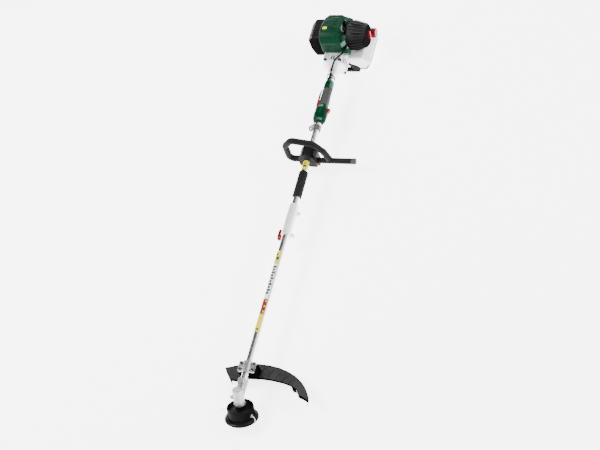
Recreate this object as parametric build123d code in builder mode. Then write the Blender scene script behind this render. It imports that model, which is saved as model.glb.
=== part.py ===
from build123d import *
import os
from math import atan, cos, degrees, pi, radians, sin, tan

# String trimmer with a petrol engine and a split shaft.
# Frame: +X from the cutting head to the engine, +Z up, origin on the floor under the engine stand.

# ---------------------------------------------------------------- driving dimensions (mm)
SHAFT_Z = 105  # height of the boom's axis above the floor
HEAD_X = -1569  # where the cutting head's axis crosses the boom's axis
HEAD_TILT = 60  # angle between the boom and the cutting head's axis
TUBE_R = 13
TUBE_BORE = 11.5
DRIVE_R = 4
SPLINE_R = 3
RUNNING = 0.05  # radial clearance of a shaft in its bearing
GAP = 0.4  # clearance between parts that move past each other
COUPLER_START = 676
COUPLER_END = 811
TUBE_JOINT = 747  # where the two halves of the boom meet
HANDLE_X = 1043
COLLAR_START = 1208
GRIP_START = 1294
GRIP_END = 1402
CONTROL_ROLL = 35  # the lock lever's angle above the horizontal
CLUTCH_START = 1457
FAN_START = 1520
CRANK_X = 1612  # cylinder axis
BORE = 36
STROKE = 30
ROD_LENGTH = 48
PINION_TEETH = 14
GEAR_TEETH = 19
PINION_PITCH_R = 10
HEAD_R = 60

os.makedirs("parts", exist_ok=True)


# ---------------------------------------------------------------- planes and helpers
def station(distance):
    """X of a point on the boom, measured from the cutting head's axis."""
    return HEAD_X + distance


def across(distance, y=0, z=0):
    """Plane across the boom: its x is +Y, its y is +Z, its normal is +X."""
    return Plane(origin=(station(distance), y, SHAFT_Z + z), x_dir=(0, 1, 0), z_dir=(1, 0, 0))


def sideways(y=0, distance=0, z=0):
    """Upright plane along the boom: its x is +X, its y is +Z, its normal is -Y."""
    return Plane(origin=(station(distance), y, SHAFT_Z + z), x_dir=(1, 0, 0), z_dir=(0, -1, 0))


def level(z=0, distance=0, y=0):
    """Level plane at a height above the boom's axis."""
    return Plane(origin=(station(distance), y, SHAFT_Z + z), x_dir=(1, 0, 0), z_dir=(0, 0, 1))


HEAD_UP = Vector(cos(radians(HEAD_TILT)), 0, sin(radians(HEAD_TILT)))
HEAD_BACK = Vector(sin(radians(HEAD_TILT)), 0, -cos(radians(HEAD_TILT)))
HEAD_CENTRE = Vector(HEAD_X, 0, SHAFT_Z)
SHAFT_AXIS = Axis((HEAD_X, 0, SHAFT_Z), (1, 0, 0))
HEAD_AXIS = Axis(HEAD_CENTRE, HEAD_UP)
BOOM_SIDE = sideways()
HEAD_SIDE = Plane(origin=HEAD_CENTRE, x_dir=HEAD_BACK, z_dir=(0, 1, 0))


def head_plane(drop):
    """Plane across the cutting head's axis, this far below the boom's axis."""
    return Plane(origin=HEAD_CENTRE - HEAD_UP * drop, x_dir=HEAD_BACK, z_dir=HEAD_UP)


def outline(plane, points, radius=0):
    """A closed polygon on a plane, with its corners rounded."""
    with BuildSketch(plane) as sketch:
        with BuildLine():
            Polyline(*points, close=True)
        make_face()
        if radius:
            fillet(sketch.vertices(), radius)
    return sketch.sketch


def disc(plane, radius, hole=0):
    """A round face, with a round hole."""
    with BuildSketch(plane) as sketch:
        Circle(radius)
        if hole:
            Circle(hole, mode=Mode.SUBTRACT)
    return sketch.sketch


def plate(plane, width, height, radius=0):
    """A rectangle centred on the plane's origin."""
    with BuildSketch(plane) as sketch:
        Rectangle(width, height)
        if radius:
            fillet(sketch.vertices(), radius)
    return sketch.sketch


# ---------------------------------------------------------------- one socket-head bolt
BOLT_R = 2.5
BOLT_HEAD_R = 4.25
BOLT_HEAD = 5
with BuildPart() as bolt:
    extrude(disc(Plane.XY, BOLT_R), amount=-12)
    extrude(disc(Plane.XY, BOLT_HEAD_R), amount=BOLT_HEAD)
    with BuildSketch(Plane.XY.offset(BOLT_HEAD)):
        RegularPolygon(radius=2.3, side_count=6)
    extrude(amount=-2.5, mode=Mode.SUBTRACT)

# ---------------------------------------------------------------- gearbox casting
BARREL_R = 19
BARREL_TOP = 36
BARREL_BOTTOM = 26
SOCKET_R = 17.5
SOCKET_END = 68
with BuildPart() as gear_housing:
    extrude(disc(head_plane(BARREL_BOTTOM), BARREL_R), amount=BARREL_TOP + BARREL_BOTTOM)
    fillet(gear_housing.edges().sort_by(HEAD_AXIS)[-1], 4)
    extrude(disc(head_plane(BARREL_BOTTOM), BARREL_R + 2), amount=5)
    revolve(outline(BOOM_SIDE, [(0, 0), (SOCKET_END, 0), (SOCKET_END, SOCKET_R), (0, SOCKET_R)]), SHAFT_AXIS)
    extrude(plate(across(46, 0, 19), 22, 12, 3), amount=20)
    extrude(disc(Plane(origin=(HEAD_X, 0, SHAFT_Z), z_dir=(0, 1, 0)), 8), amount=26)
    extrude(disc(sideways(27), BOLT_R), amount=13, mode=Mode.SUBTRACT)
    # gear chamber, bearing seats and tube socket
    revolve(
        outline(
            HEAD_SIDE,
            [
                (0, -32), (11, -32), (11, -25), (16, -25), (16, 10), (14, 10), (14, 18), (9, 18), (9, 27), (0, 27),
            ],
        ),
        HEAD_AXIS,
        mode=Mode.SUBTRACT,
    )
    revolve(
        outline(BOOM_SIDE, [(0, 0), (70, 0), (70, TUBE_R), (0, TUBE_R)]), SHAFT_AXIS, mode=Mode.SUBTRACT
    )
gear_housing.part.label = "gear_housing"
export_step(gear_housing.part, "parts/gear_housing.step")

# ---------------------------------------------------------------- bevel gears
MODULE = 2 * PINION_PITCH_R / PINION_TEETH
PINION_CONE = degrees(
    atan(sin(radians(HEAD_TILT)) / (GEAR_TEETH / PINION_TEETH + cos(radians(HEAD_TILT))))
)
GEAR_CONE = HEAD_TILT - PINION_CONE
CONE_OUTER = PINION_PITCH_R / sin(radians(PINION_CONE))
CONE_INNER = CONE_OUTER - 9
ADDENDUM = 0.75 * MODULE
DEDENDUM = 1.15 * MODULE
TOOTH_HALF = 0.215 * pi * MODULE
PRESSURE_SLOPE = tan(radians(20))


def tooth_face(cone, reach):
    """Trapezoid of one tooth, square to its pitch cone, at this distance from the apex."""
    scale = reach / CONE_OUTER
    slope = Vector(sin(radians(cone)), 0, cos(radians(cone)))
    plane = Plane(origin=slope * reach, x_dir=(0, 1, 0), z_dir=slope * -1)
    heights = (-DEDENDUM - 0.4, ADDENDUM)
    widths = [TOOTH_HALF - height * PRESSURE_SLOPE for height in heights]
    corners = [
        (-widths[0] * scale, heights[0] * scale),
        (widths[0] * scale, heights[0] * scale),
        (widths[1] * scale, heights[1] * scale),
        (-widths[1] * scale, heights[1] * scale),
    ]
    return outline(plane, corners)


def bevel_blank(cone):
    """Corners of the gear's body under its teeth, as radius and height above the apex."""
    root = cone - degrees(atan(DEDENDUM / CONE_OUTER))
    inner = (CONE_INNER * sin(radians(root)), CONE_INNER * cos(radians(root)))
    outer = (CONE_OUTER * sin(radians(root)), CONE_OUTER * cos(radians(root)))
    return inner, outer


def bevel_wheel(teeth, cone, phase):
    """Teeth on their root cone, with the apex at the origin and the axis along +Z."""
    inner, outer = bevel_blank(cone)
    with BuildPart() as wheel:
        with BuildSketch(Plane.XZ):
            with BuildLine():
                Polyline((0, inner[1]), inner, outer, (0, outer[1]), close=True)
            make_face()
        revolve(axis=Axis.Z)
        with BuildPart(mode=Mode.PRIVATE) as tooth:
            loft([tooth_face(cone, CONE_INNER), tooth_face(cone, CONE_OUTER)])
        with PolarLocations(0, teeth, start_angle=phase):
            add(tooth.part)
    return wheel.part


PINION_AT = Plane(origin=HEAD_CENTRE, x_dir=(0, 0, 1), z_dir=(1, 0, 0))
GEAR_AT = Plane(origin=HEAD_CENTRE, x_dir=HEAD_BACK, z_dir=HEAD_UP)
PINION_BLANK = PINION_AT.location * bevel_wheel(PINION_TEETH, PINION_CONE, 0)
GEAR_BLANK = GEAR_AT.location * bevel_wheel(GEAR_TEETH, GEAR_CONE, 180 / GEAR_TEETH)
PINION_FACE = bevel_blank(PINION_CONE)[1][1]
GEAR_FACE = bevel_blank(GEAR_CONE)[1][1]

with BuildPart() as bevel_pinion:
    add(PINION_BLANK)
    extrude(disc(across(PINION_FACE - 0.1), 7), amount=24 - PINION_FACE)
    extrude(disc(across(23), 5 - RUNNING), amount=19)
    extrude(disc(across(26), SPLINE_R), amount=16, mode=Mode.SUBTRACT)
bevel_pinion.part.label = "bevel_pinion"
export_step(bevel_pinion.part, "parts/bevel_pinion.step")

GEAR_BORE = 5
with BuildPart() as bevel_gear:
    add(GEAR_BLANK)
    extrude(disc(head_plane(0.1 - GEAR_FACE), 9), amount=24.5 - GEAR_FACE)
    extrude(disc(head_plane(0), GEAR_BORE), amount=30, mode=Mode.SUBTRACT)
bevel_gear.part.label = "bevel_gear"
export_step(bevel_gear.part, "parts/bevel_gear.step")

# ---------------------------------------------------------------- output spindle with its flange
FLANGE_DROP = 31
with BuildPart() as output_spindle:
    revolve(
        outline(
            HEAD_SIDE,
            [
                (0, -32), (4 - RUNNING, -32), (4 - RUNNING, -24.5), (GEAR_BORE, -24.5), (GEAR_BORE, 9.5),
                (6 - RUNNING, 9.5), (6 - RUNNING, 18.5), (8, 18.5), (8, 27), (17, 27), (17, FLANGE_DROP),
                (5, FLANGE_DROP), (5, 58), (0, 58),
            ],
        ),
        HEAD_AXIS,
    )
output_spindle.part.label = "output_spindle"
export_step(output_spindle.part, "parts/output_spindle.step")

# ---------------------------------------------------------------- ball bearings
BEARING_SLOTS = {  # bore radius, outer radius, width, plane of the lower face
    "spindle_top": (4, 11, 7, head_plane(-25)),
    "spindle_low": (6, 14, 8, head_plane(18)),
    "pinion": (5, 13, 8, across(24.2)),
    "drum": (5, 13, 8, across(1482)),
    "crank_front": (7.5, 16, 9, across(1581)),
    "crank_rear": (7.5, 16, 9, across(1634)),
}
SHIELD = 0.6
with BuildPart() as ball_bearings:
    for bore, rim, width, plane in BEARING_SLOTS.values():
        race = 0.22 * (rim - bore)
        extrude(disc(plane, bore + race, bore), amount=width)
        extrude(disc(plane, rim, rim - race), amount=width)
        extrude(disc(plane.offset(SHIELD), rim - race, bore + race), amount=width - 2 * SHIELD)
ball_bearings.part.label = "ball_bearings"
export_step(ball_bearings.part, "parts/ball_bearings.step")

# ---------------------------------------------------------------- cutting head
CUP_R = 48
RIM_DROP = 35
COVER_DROP = 72
HEAD_BASE = 89
EYELET_DROP = 60
EYELET_ANGLES = (-109, 71)
EYELET_R = 4.5


def eyelet_plane(angle, radius):
    """Plane across a line outlet, at this radius from the head's axis, facing outwards."""
    turn = radians(angle)
    outward = HEAD_BACK * cos(turn) + Vector(0, 1, 0) * sin(turn)
    return Plane(origin=HEAD_CENTRE - HEAD_UP * EYELET_DROP + outward * radius, x_dir=HEAD_UP, z_dir=outward)


with BuildPart() as head_housing:
    revolve(
        outline(
            HEAD_SIDE,
            [
                (5, FLANGE_DROP), (15, FLANGE_DROP), (16, 44), (40, 46), (44.5, RIM_DROP),
                (CUP_R - 1, RIM_DROP), (CUP_R, 40), (CUP_R, COVER_DROP), (45, COVER_DROP), (45, 52), (42, 49),
                (7, 49), (7, 58), (5, 58),
            ],
        ),
        HEAD_AXIS,
    )
    for angle in EYELET_ANGLES:
        extrude(disc(eyelet_plane(angle, 40), EYELET_R), amount=12, mode=Mode.SUBTRACT)
head_housing.part.label = "head_housing"
export_step(head_housing.part, "parts/head_housing.step")

with BuildPart() as line_eyelets:
    for angle in EYELET_ANGLES:
        extrude(disc(eyelet_plane(angle, 43), EYELET_R, 2), amount=7)
        extrude(disc(eyelet_plane(angle, 48.6), EYELET_R + 1.5, 2), amount=1.4)
line_eyelets.part.label = "line_eyelets"
export_step(line_eyelets.part, "parts/line_eyelets.step")

KNOB_R = 26
KNOB_FLANGE_DROP = 78.5
KNOB_END = 100
with BuildPart() as head_base_cover:
    revolve(
        outline(
            HEAD_SIDE,
            [
                (45.2, COVER_DROP), (CUP_R + 2, COVER_DROP), (HEAD_R - 3, 75), (HEAD_R, 78), (HEAD_R, 84),
                (HEAD_R - 5, HEAD_BASE), (KNOB_R + 1.5, HEAD_BASE), (KNOB_R + 1.5, 85), (44, 85), (45.2, 83),
            ],
        ),
        HEAD_AXIS,
    )
head_base_cover.part.label = "head_base_cover"
export_step(head_base_cover.part, "parts/head_base_cover.step")

SPOOL_TOP = 55.5
SPOOL_R = 41
with BuildPart() as line_spool:
    revolve(
        outline(
            HEAD_SIDE,
            [
                (11.5, SPOOL_TOP), (SPOOL_R, SPOOL_TOP), (SPOOL_R, 57.5), (15, 57.5), (15, 65.5), (SPOOL_R, 65.5),
                (SPOOL_R, 67.5), (15, 67.5), (15, 76.5), (SPOOL_R, 76.5), (SPOOL_R, KNOB_FLANGE_DROP),
                (6, KNOB_FLANGE_DROP), (6, 71), (11.5, 71),
            ],
        ),
        HEAD_AXIS,
    )
    # the wound line, one ring in each half of the spool
    for top, bottom in ((58, 65), (68, 76)):
        revolve(outline(HEAD_SIDE, [(15.3, top), (35, top), (35, bottom), (15.3, bottom)]), HEAD_AXIS)
line_spool.part.label = "line_spool"
export_step(line_spool.part, "parts/line_spool.step")

SPRING_WIRE_R = 0.8
SPRING_R = 9.3
SPRING_TOP = 51
SPRING_END = 64
SPRING_PITCH = 4.4
with BuildPart() as spool_spring:
    with BuildLine() as spring_path:
        Helix(
            SPRING_PITCH, SPRING_END - SPRING_TOP, SPRING_R,
            center=head_plane(SPRING_END).origin, direction=HEAD_UP,
        )
    spring_wire = spring_path.wires()[0]
    with BuildSketch(Plane(origin=spring_wire @ 0, z_dir=spring_wire % 0)):
        Circle(SPRING_WIRE_R)
    sweep(path=spring_wire, is_frenet=True)
spool_spring.part.label = "spool_spring"
export_step(spool_spring.part, "parts/spool_spring.step")

with BuildPart() as bump_knob:
    revolve(
        outline(
            HEAD_SIDE,
            [
                (0, 73), (5.7, 73), (5.7, KNOB_FLANGE_DROP), (30, KNOB_FLANGE_DROP), (30, 82),
                (KNOB_R, 82), (KNOB_R, 93), (KNOB_R - 7, KNOB_END), (0, KNOB_END),
            ],
        ),
        HEAD_AXIS,
    )
bump_knob.part.label = "bump_knob"
export_step(bump_knob.part, "parts/bump_knob.step")

LINE_R = 1.2
LINE_POINTS = (  # angle round the head, radius, drop below the boom's axis
    ((-109, 42, 60), (-109, 58, 60), (-114, 70, 63), (-120, 80, 68)),
    ((71, 42, 60), (71, 60, 60), (77, 74, 63), (84, 84, 68)),
)


def line_point(angle, radius, drop):
    """A point round the head's axis."""
    turn = radians(angle)
    return HEAD_CENTRE - HEAD_UP * drop + HEAD_BACK * (radius * cos(turn)) + Vector(0, radius * sin(turn), 0)


def cord_radii(points):
    """Radii of the arcs at a cord's corners, as large as its straight runs allow."""
    runs = [b - a for a, b in zip(points, points[1:])]
    radii = []
    for first, second in zip(runs, runs[1:]):
        half_turn = radians(first.get_angle(second) / 2)
        radii.append(0.45 * min(first.length, second.length) / tan(half_turn))
    return radii


with BuildPart() as trimmer_line:
    for route in LINE_POINTS:
        points = [line_point(*place) for place in route]
        with BuildLine() as line_path:
            FilletPolyline(*points, radius=cord_radii(points))
        with BuildSketch(Plane(origin=points[0], z_dir=points[1] - points[0])):
            Circle(LINE_R)
        sweep(path=line_path.wires()[0])
trimmer_line.part.label = "trimmer_line"
export_step(trimmer_line.part, "parts/trimmer_line.step")

# ---------------------------------------------------------------- boom tubes, drive shafts and bushes
LOWER_TUBE_START = 33
UPPER_TUBE_END = 1480
with BuildPart() as lower_tube:
    extrude(disc(across(LOWER_TUBE_START), TUBE_R, TUBE_BORE), amount=TUBE_JOINT - 1 - LOWER_TUBE_START)
    extrude(disc(level(-TUBE_R - 1, 722), 3.4), amount=5, mode=Mode.SUBTRACT)
lower_tube.part.label = "lower_tube"
export_step(lower_tube.part, "parts/lower_tube.step")

with BuildPart() as upper_tube:
    extrude(disc(across(TUBE_JOINT), TUBE_R, TUBE_BORE), amount=UPPER_TUBE_END - TUBE_JOINT)
upper_tube.part.label = "upper_tube"
export_step(upper_tube.part, "parts/upper_tube.step")

LOWER_SHAFT_END = 770
with BuildPart() as lower_drive_shaft:
    extrude(disc(across(26.5), SPLINE_R), amount=LOWER_SHAFT_END - 26.5)
    extrude(disc(across(42), DRIVE_R), amount=744 - 42)
lower_drive_shaft.part.label = "lower_drive_shaft"
export_step(lower_drive_shaft.part, "parts/lower_drive_shaft.step")

DRUM_STUB_START = 1460
with BuildPart() as upper_drive_shaft:
    extrude(disc(across(746), 7, SPLINE_R), amount=26)
    extrude(disc(across(LOWER_SHAFT_END + 1), 7), amount=15)
    extrude(disc(across(785), DRIVE_R), amount=DRUM_STUB_START - 785)
    extrude(disc(across(DRUM_STUB_START - 1), SPLINE_R), amount=15)
upper_drive_shaft.part.label = "upper_drive_shaft"
export_step(upper_drive_shaft.part, "parts/upper_drive_shaft.step")

BUSH_STATIONS = (180, 400, 610, 860, 1080, 1300)
with BuildPart() as shaft_bushes:
    for place in BUSH_STATIONS:
        extrude(disc(across(place), TUBE_BORE, DRIVE_R + RUNNING), amount=20)
shaft_bushes.part.label = "shaft_bushes"
export_step(shaft_bushes.part, "parts/shaft_bushes.step")

# ---------------------------------------------------------------- guard over the cutting line
GUARD_SLOPE = 14  # the guard's top falls away from the boom by this angle
GUARD_FRONT = 94
GUARD_FRONT_Z = -45.3
GUARD_DEPTH = 36
GUARD_WALL = 3
GUARD = Plane(
    origin=(station(GUARD_FRONT), 0, SHAFT_Z + GUARD_FRONT_Z),
    x_dir=(cos(radians(GUARD_SLOPE)), 0, -sin(radians(GUARD_SLOPE))),
    z_dir=(sin(radians(GUARD_SLOPE)), 0, cos(radians(GUARD_SLOPE))),
)
GUARD_OUTER = [
    (44, 111), (60, 70), (71, 29), (76, -12), (74, -52), (67, -91), (54, -128), (36, -162), (13, -191), (-12, -214),
    (-39, -231), (-66, -240),
]
GUARD_INNER = [
    (-56, -222), (-44, -196), (-22, -184), (-6, -158), (4, -124), (11, -79), (13, -38), (10, 8), (-7, 42), (-6, 71),
]
LIP_CUT = [(-40, 74), (0, 74), (0, 42), (15, 8), (18, -38), (16, -79), (9, -124), (-1, -158), (-40, -158)]
TAIL_CUT = [(-158, -37), (-188, -20), (-250, -16), (-250, -37)]


GUARD_ACROSS = Plane(origin=GUARD.from_local_coords((-80, 0, 0)), x_dir=GUARD.y_dir, z_dir=GUARD.x_dir)


def drawn_in(points, amount):
    """Corners of a clockwise polygon with every side moved inwards."""
    moved = []
    for before, corner, after in zip(points[-1:] + points[:-1], points, points[1:] + points[:1]):
        first = Vector(corner[1] - before[1], before[0] - corner[0]).normalized()
        second = Vector(after[1] - corner[1], corner[0] - after[0]).normalized()
        middle = (first + second).normalized()
        reach = middle * (amount / middle.dot(first))
        moved.append((corner[0] + reach.X, corner[1] + reach.Y))
    return moved


SADDLE_START = 98
SADDLE_END = 138
SADDLE_Y = 32
with BuildPart() as guard:
    extrude(outline(GUARD.offset(-GUARD_DEPTH), GUARD_OUTER + GUARD_INNER), amount=GUARD_DEPTH)
    # hollow underneath, up to the narrow tail
    extrude(
        outline(GUARD.offset(-GUARD_DEPTH - 1), drawn_in(GUARD_OUTER[:9] + GUARD_INNER[3:], GUARD_WALL)),
        amount=GUARD_DEPTH + 1 - GUARD_WALL,
        mode=Mode.SUBTRACT,
    )
    # the front wall is only a low lip
    extrude(outline(GUARD.offset(-GUARD_DEPTH - 1), LIP_CUT), amount=GUARD_DEPTH - 9, mode=Mode.SUBTRACT)
    # and the tail gets shallower towards its tip
    extrude(outline(GUARD_ACROSS, TAIL_CUT), amount=140, mode=Mode.SUBTRACT)
    # saddle under the boom
    extrude(
        outline(sideways(SADDLE_Y), [(SADDLE_START, -1), (SADDLE_END, -1), (SADDLE_END, -58), (SADDLE_START, -48)]),
        amount=2 * SADDLE_Y,
    )
    extrude(disc(across(SADDLE_START - 2), TUBE_R), amount=50, mode=Mode.SUBTRACT)
    with Locations(*[level(-1, place, y) for place in (107, 129) for y in (-24, 24)]):
        Cylinder(BOLT_R, 20, mode=Mode.SUBTRACT)
guard.part.label = "guard"
export_step(guard.part, "parts/guard.step")

GUARD_BOLTS = [level(7, place, y) for place in (107, 129) for y in (-24, 24)]
with BuildPart() as guard_bracket:
    extrude(plate(level(1, 118), SADDLE_END - SADDLE_START, 2 * SADDLE_Y, 4), amount=6)
    extrude(disc(across(SADDLE_START), 18), amount=SADDLE_END - SADDLE_START)
    extrude(plate(level(1, 118), 60, 80), amount=-30, mode=Mode.SUBTRACT)
    extrude(disc(across(SADDLE_START - 2), TUBE_R), amount=50, mode=Mode.SUBTRACT)
    with Locations(*GUARD_BOLTS):
        Cylinder(BOLT_R, 20, mode=Mode.SUBTRACT)
guard_bracket.part.label = "guard_bracket"
export_step(guard_bracket.part, "parts/guard_bracket.step")

CUTTER_THICK = 2
CUTTER_AT = Plane(
    origin=GUARD.from_local_coords((-33.1, -189.8, -10)),
    x_dir=GUARD.from_local_coords((-22, -12, 0)) - GUARD.origin,
    z_dir=GUARD.from_local_coords((-12, 22, 0)) - GUARD.origin,
)
with BuildPart() as line_cutter:
    extrude(outline(CUTTER_AT, [(-9, 8), (9, 8), (9, -44), (4, -50), (-3, -34), (-9, -28)]), amount=CUTTER_THICK)
    with Locations(CUTTER_AT):
        Cylinder(BOLT_R, 10, mode=Mode.SUBTRACT)
line_cutter.part.label = "line_cutter"
export_step(line_cutter.part, "parts/line_cutter.step")

# ---------------------------------------------------------------- coupler between the two tubes
COUPLER_R = 18.5
PINCH_Z = -21
PINCH_STATIONS = (689, 788)
COUPLER_KNOB_STEM = 4
with BuildPart() as coupler_housing:
    extrude(disc(across(COUPLER_START), COUPLER_R), amount=COUPLER_END - COUPLER_START)
    for place in PINCH_STATIONS:
        extrude(plate(across(place - 11, 0, PINCH_Z), 24, 14, 3), amount=22)
        extrude(disc(sideways(-10, place, PINCH_Z), 7.5), amount=14)
    extrude(disc(level(-15, 722), 8), amount=-9)
    extrude(
        disc(across(COUPLER_START - 1), TUBE_R), amount=COUPLER_END - COUPLER_START + 2, mode=Mode.SUBTRACT
    )
    extrude(
        disc(sideways(14, PINCH_STATIONS[0], PINCH_Z), COUPLER_KNOB_STEM + RUNNING),
        amount=34,
        mode=Mode.SUBTRACT,
    )
    extrude(disc(sideways(14, PINCH_STATIONS[1], PINCH_Z), BOLT_R), amount=34, mode=Mode.SUBTRACT)
    extrude(disc(level(-10, 722), 3 + RUNNING), amount=-20, mode=Mode.SUBTRACT)
    # the slot that closes when the clamp is tightened
    extrude(
        plate(across(COUPLER_START - 1, 0, -20), 2.4, 20),
        amount=COUPLER_END - COUPLER_START + 2,
        mode=Mode.SUBTRACT,
    )
    fillet(coupler_housing.edges().filter_by(GeomType.CIRCLE).group_by(Axis.X)[-1], 1)
coupler_housing.part.label = "coupler_housing"
export_step(coupler_housing.part, "parts/coupler_housing.step")

with BuildPart() as coupler_knob:
    extrude(disc(sideways(25, PINCH_STATIONS[0], PINCH_Z), COUPLER_KNOB_STEM), amount=30)
    extrude(disc(sideways(23, PINCH_STATIONS[0], PINCH_Z), 8), amount=9)
    extrude(plate(sideways(38, PINCH_STATIONS[0], PINCH_Z), 46, 22, 10), amount=16)
    fillet(coupler_knob.faces().sort_by(Axis.Y)[-1].edges(), 3)
coupler_knob.part.label = "coupler_knob"
export_step(coupler_knob.part, "parts/coupler_knob.step")

with BuildPart() as coupler_lock_pin:
    extrude(disc(level(-TUBE_BORE - 0.2, 722), 3), amount=-16)
    extrude(disc(level(-24.5, 722), 6), amount=-7)
coupler_lock_pin.part.label = "coupler_lock_pin"
export_step(coupler_lock_pin.part, "parts/coupler_lock_pin.step")

# ---------------------------------------------------------------- foam sleeve, loop handle and barrier bar
with BuildPart() as foam_sleeve:
    extrude(disc(across(848), 18, TUBE_R), amount=118)
    fillet(foam_sleeve.edges().filter_by(GeomType.CIRCLE).filter_by(lambda e: e.radius > 17), 3)
foam_sleeve.part.label = "foam_sleeve"
export_step(foam_sleeve.part, "parts/foam_sleeve.step")

LOOP_R = 12.5
BAR_R = 11.5
CLAMP_Y = 34
CLAMP_HALF = 25
BAR_Z = -23
LOOP_POINTS = [
    (HANDLE_X, 34.2, -15), (HANDLE_X, 81, -15), (HANDLE_X, 78, 66), (HANDLE_X, 46, 98),
    (HANDLE_X, -38, 80), (HANDLE_X, -70, 34), (HANDLE_X, -82, -14),
]
with BuildPart() as loop_handle:
    loop_points = [Vector(station(x), y, SHAFT_Z + z) for x, y, z in LOOP_POINTS]
    with BuildLine() as loop_path:
        FilletPolyline(*loop_points, radius=[24, 24, 22, 30, 30])
    with BuildSketch(Plane(origin=loop_points[0], z_dir=loop_points[1] - loop_points[0])):
        Circle(LOOP_R)
    sweep(path=loop_path.wires()[0])
    extrude(disc(sideways(-30, HANDLE_X, BAR_Z), BAR_R), amount=150, mode=Mode.SUBTRACT)
loop_handle.part.label = "loop_handle"
export_step(loop_handle.part, "parts/loop_handle.step")

HANDLE_BOLTS = [(place, y) for place in (HANDLE_X - 17, HANDLE_X + 17) for y in (-26, 26)]
with BuildPart() as handle_clamp_base:
    extrude(
        outline(
            across(HANDLE_X - CLAMP_HALF),
            [
                (-CLAMP_Y, -34), (-14, -34), (16, -28), (CLAMP_Y - 6, -27), (CLAMP_Y, -22), (CLAMP_Y, -1),
                (-CLAMP_Y, -1),
            ],
        ),
        amount=2 * CLAMP_HALF,
    )
    extrude(disc(across(HANDLE_X - 30), TUBE_R), amount=60, mode=Mode.SUBTRACT)
    extrude(disc(level(-20, HANDLE_X, -22), 3 + RUNNING), amount=-20, mode=Mode.SUBTRACT)
    with Locations(*[level(-1, place, y) for place, y in HANDLE_BOLTS]):
        Cylinder(BOLT_R, 24, mode=Mode.SUBTRACT)
handle_clamp_base.part.label = "handle_clamp_base"
export_step(handle_clamp_base.part, "parts/handle_clamp_base.step")

with BuildPart() as handle_clamp_top:
    extrude(
        outline(
            across(HANDLE_X - CLAMP_HALF),
            [
                (-CLAMP_Y, 1), (-CLAMP_Y, 8), (-27, 24), (-15, 36), (0, 40), (15, 36), (27, 24), (CLAMP_Y, 8),
                (CLAMP_Y, 1),
            ],
        ),
        amount=2 * CLAMP_HALF,
    )
    extrude(disc(across(HANDLE_X - 30), TUBE_R), amount=60, mode=Mode.SUBTRACT)
    for place, y in HANDLE_BOLTS:
        extrude(disc(level(9, place, y), 5.5), amount=40, mode=Mode.SUBTRACT)
        extrude(disc(level(0, place, y), BOLT_R), amount=12, mode=Mode.SUBTRACT)
handle_clamp_top.part.label = "handle_clamp_top"
export_step(handle_clamp_top.part, "parts/handle_clamp_top.step")

BAR_END = -188
with BuildPart() as barrier_bar:
    extrude(disc(sideways(-CLAMP_Y, HANDLE_X, BAR_Z), BAR_R), amount=-BAR_END - CLAMP_Y)
    fillet(barrier_bar.faces().sort_by(Axis.Y)[0].edges(), 4)
barrier_bar.part.label = "barrier_bar"
export_step(barrier_bar.part, "parts/barrier_bar.step")

with BuildPart() as handle_knob:
    extrude(disc(level(-24, HANDLE_X, -22), 3), amount=-14)
    extrude(disc(level(-37, HANDLE_X, -22), 7), amount=-3)
    extrude(plate(level(-39, HANDLE_X, -22), 12, 30, 5), amount=-11)
handle_knob.part.label = "handle_knob"
export_step(handle_knob.part, "parts/handle_knob.step")

# ---------------------------------------------------------------- carrying eye for the harness
ROLL = radians(CONTROL_ROLL)
CONTROL_SIDE = Plane(origin=(HEAD_X, 0, SHAFT_Z), x_dir=(1, 0, 0), z_dir=Vector(0, -sin(ROLL), cos(ROLL)))
EYE_ROLL = radians(75)  # the carrying eye's angle above the horizontal
EYE_SIDE = Plane(origin=(HEAD_X, 0, SHAFT_Z), x_dir=(1, 0, 0), z_dir=Vector(0, -sin(EYE_ROLL), cos(EYE_ROLL)))
EYE_X = 1154
EYE_RADIUS = 33
EYE_R = 11
EYE_HOLE_R = 6.5
EYE_THICK = 6
with BuildPart() as harness_eye:
    extrude(disc(across(1170), 17.5), amount=20)
    extrude(
        outline(
            EYE_SIDE.offset(-EYE_THICK / 2),
            [
                (1172, 14), (1188, 14), (1188, 24), (EYE_X + 4, EYE_RADIUS + EYE_R - 0.8),
                (EYE_X - 4, EYE_RADIUS - EYE_R + 0.8),
            ],
        ),
        amount=EYE_THICK,
    )
    with BuildSketch(EYE_SIDE.offset(-EYE_THICK / 2)):
        with Locations((EYE_X, EYE_RADIUS)):
            Circle(EYE_R)
    extrude(amount=EYE_THICK)
    with BuildSketch(EYE_SIDE.offset(-EYE_THICK)):
        with Locations((EYE_X, EYE_RADIUS)):
            Circle(EYE_HOLE_R)
    extrude(amount=2 * EYE_THICK, mode=Mode.SUBTRACT)
    extrude(disc(across(1158), TUBE_R), amount=40, mode=Mode.SUBTRACT)
harness_eye.part.label = "harness_eye"
export_step(harness_eye.part, "parts/harness_eye.step")

# ---------------------------------------------------------------- right-hand grip and its controls
SLEEVE_R = 19
INNER_R = 15.5
TRIGGER_X = 1280
TRIGGER_Z = -22
TRIGGER_HALF = 5
PIVOT_R = 2
LOCK_X = 1272
LOCK_RADIUS = 21
COLLAR_PROFILE = [
    (COLLAR_START, 12), (COLLAR_START, 19), (1220, 25), (1238, 27.5), (1270, 26.5), (GRIP_START - 4, 21),
    (GRIP_START, 19), (GRIP_START, INNER_R), (GRIP_END, INNER_R), (GRIP_END, SLEEVE_R), (1416, 17), (1416, 12),
]
TRIGGER_SLOT = [(1272, -11), (1378, -11), (1378, -45), (1272, -45)]
LOCK_SLOT = [(1264, 13.5), (1378, 13.5), (1378, 40), (1264, 40)]


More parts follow.
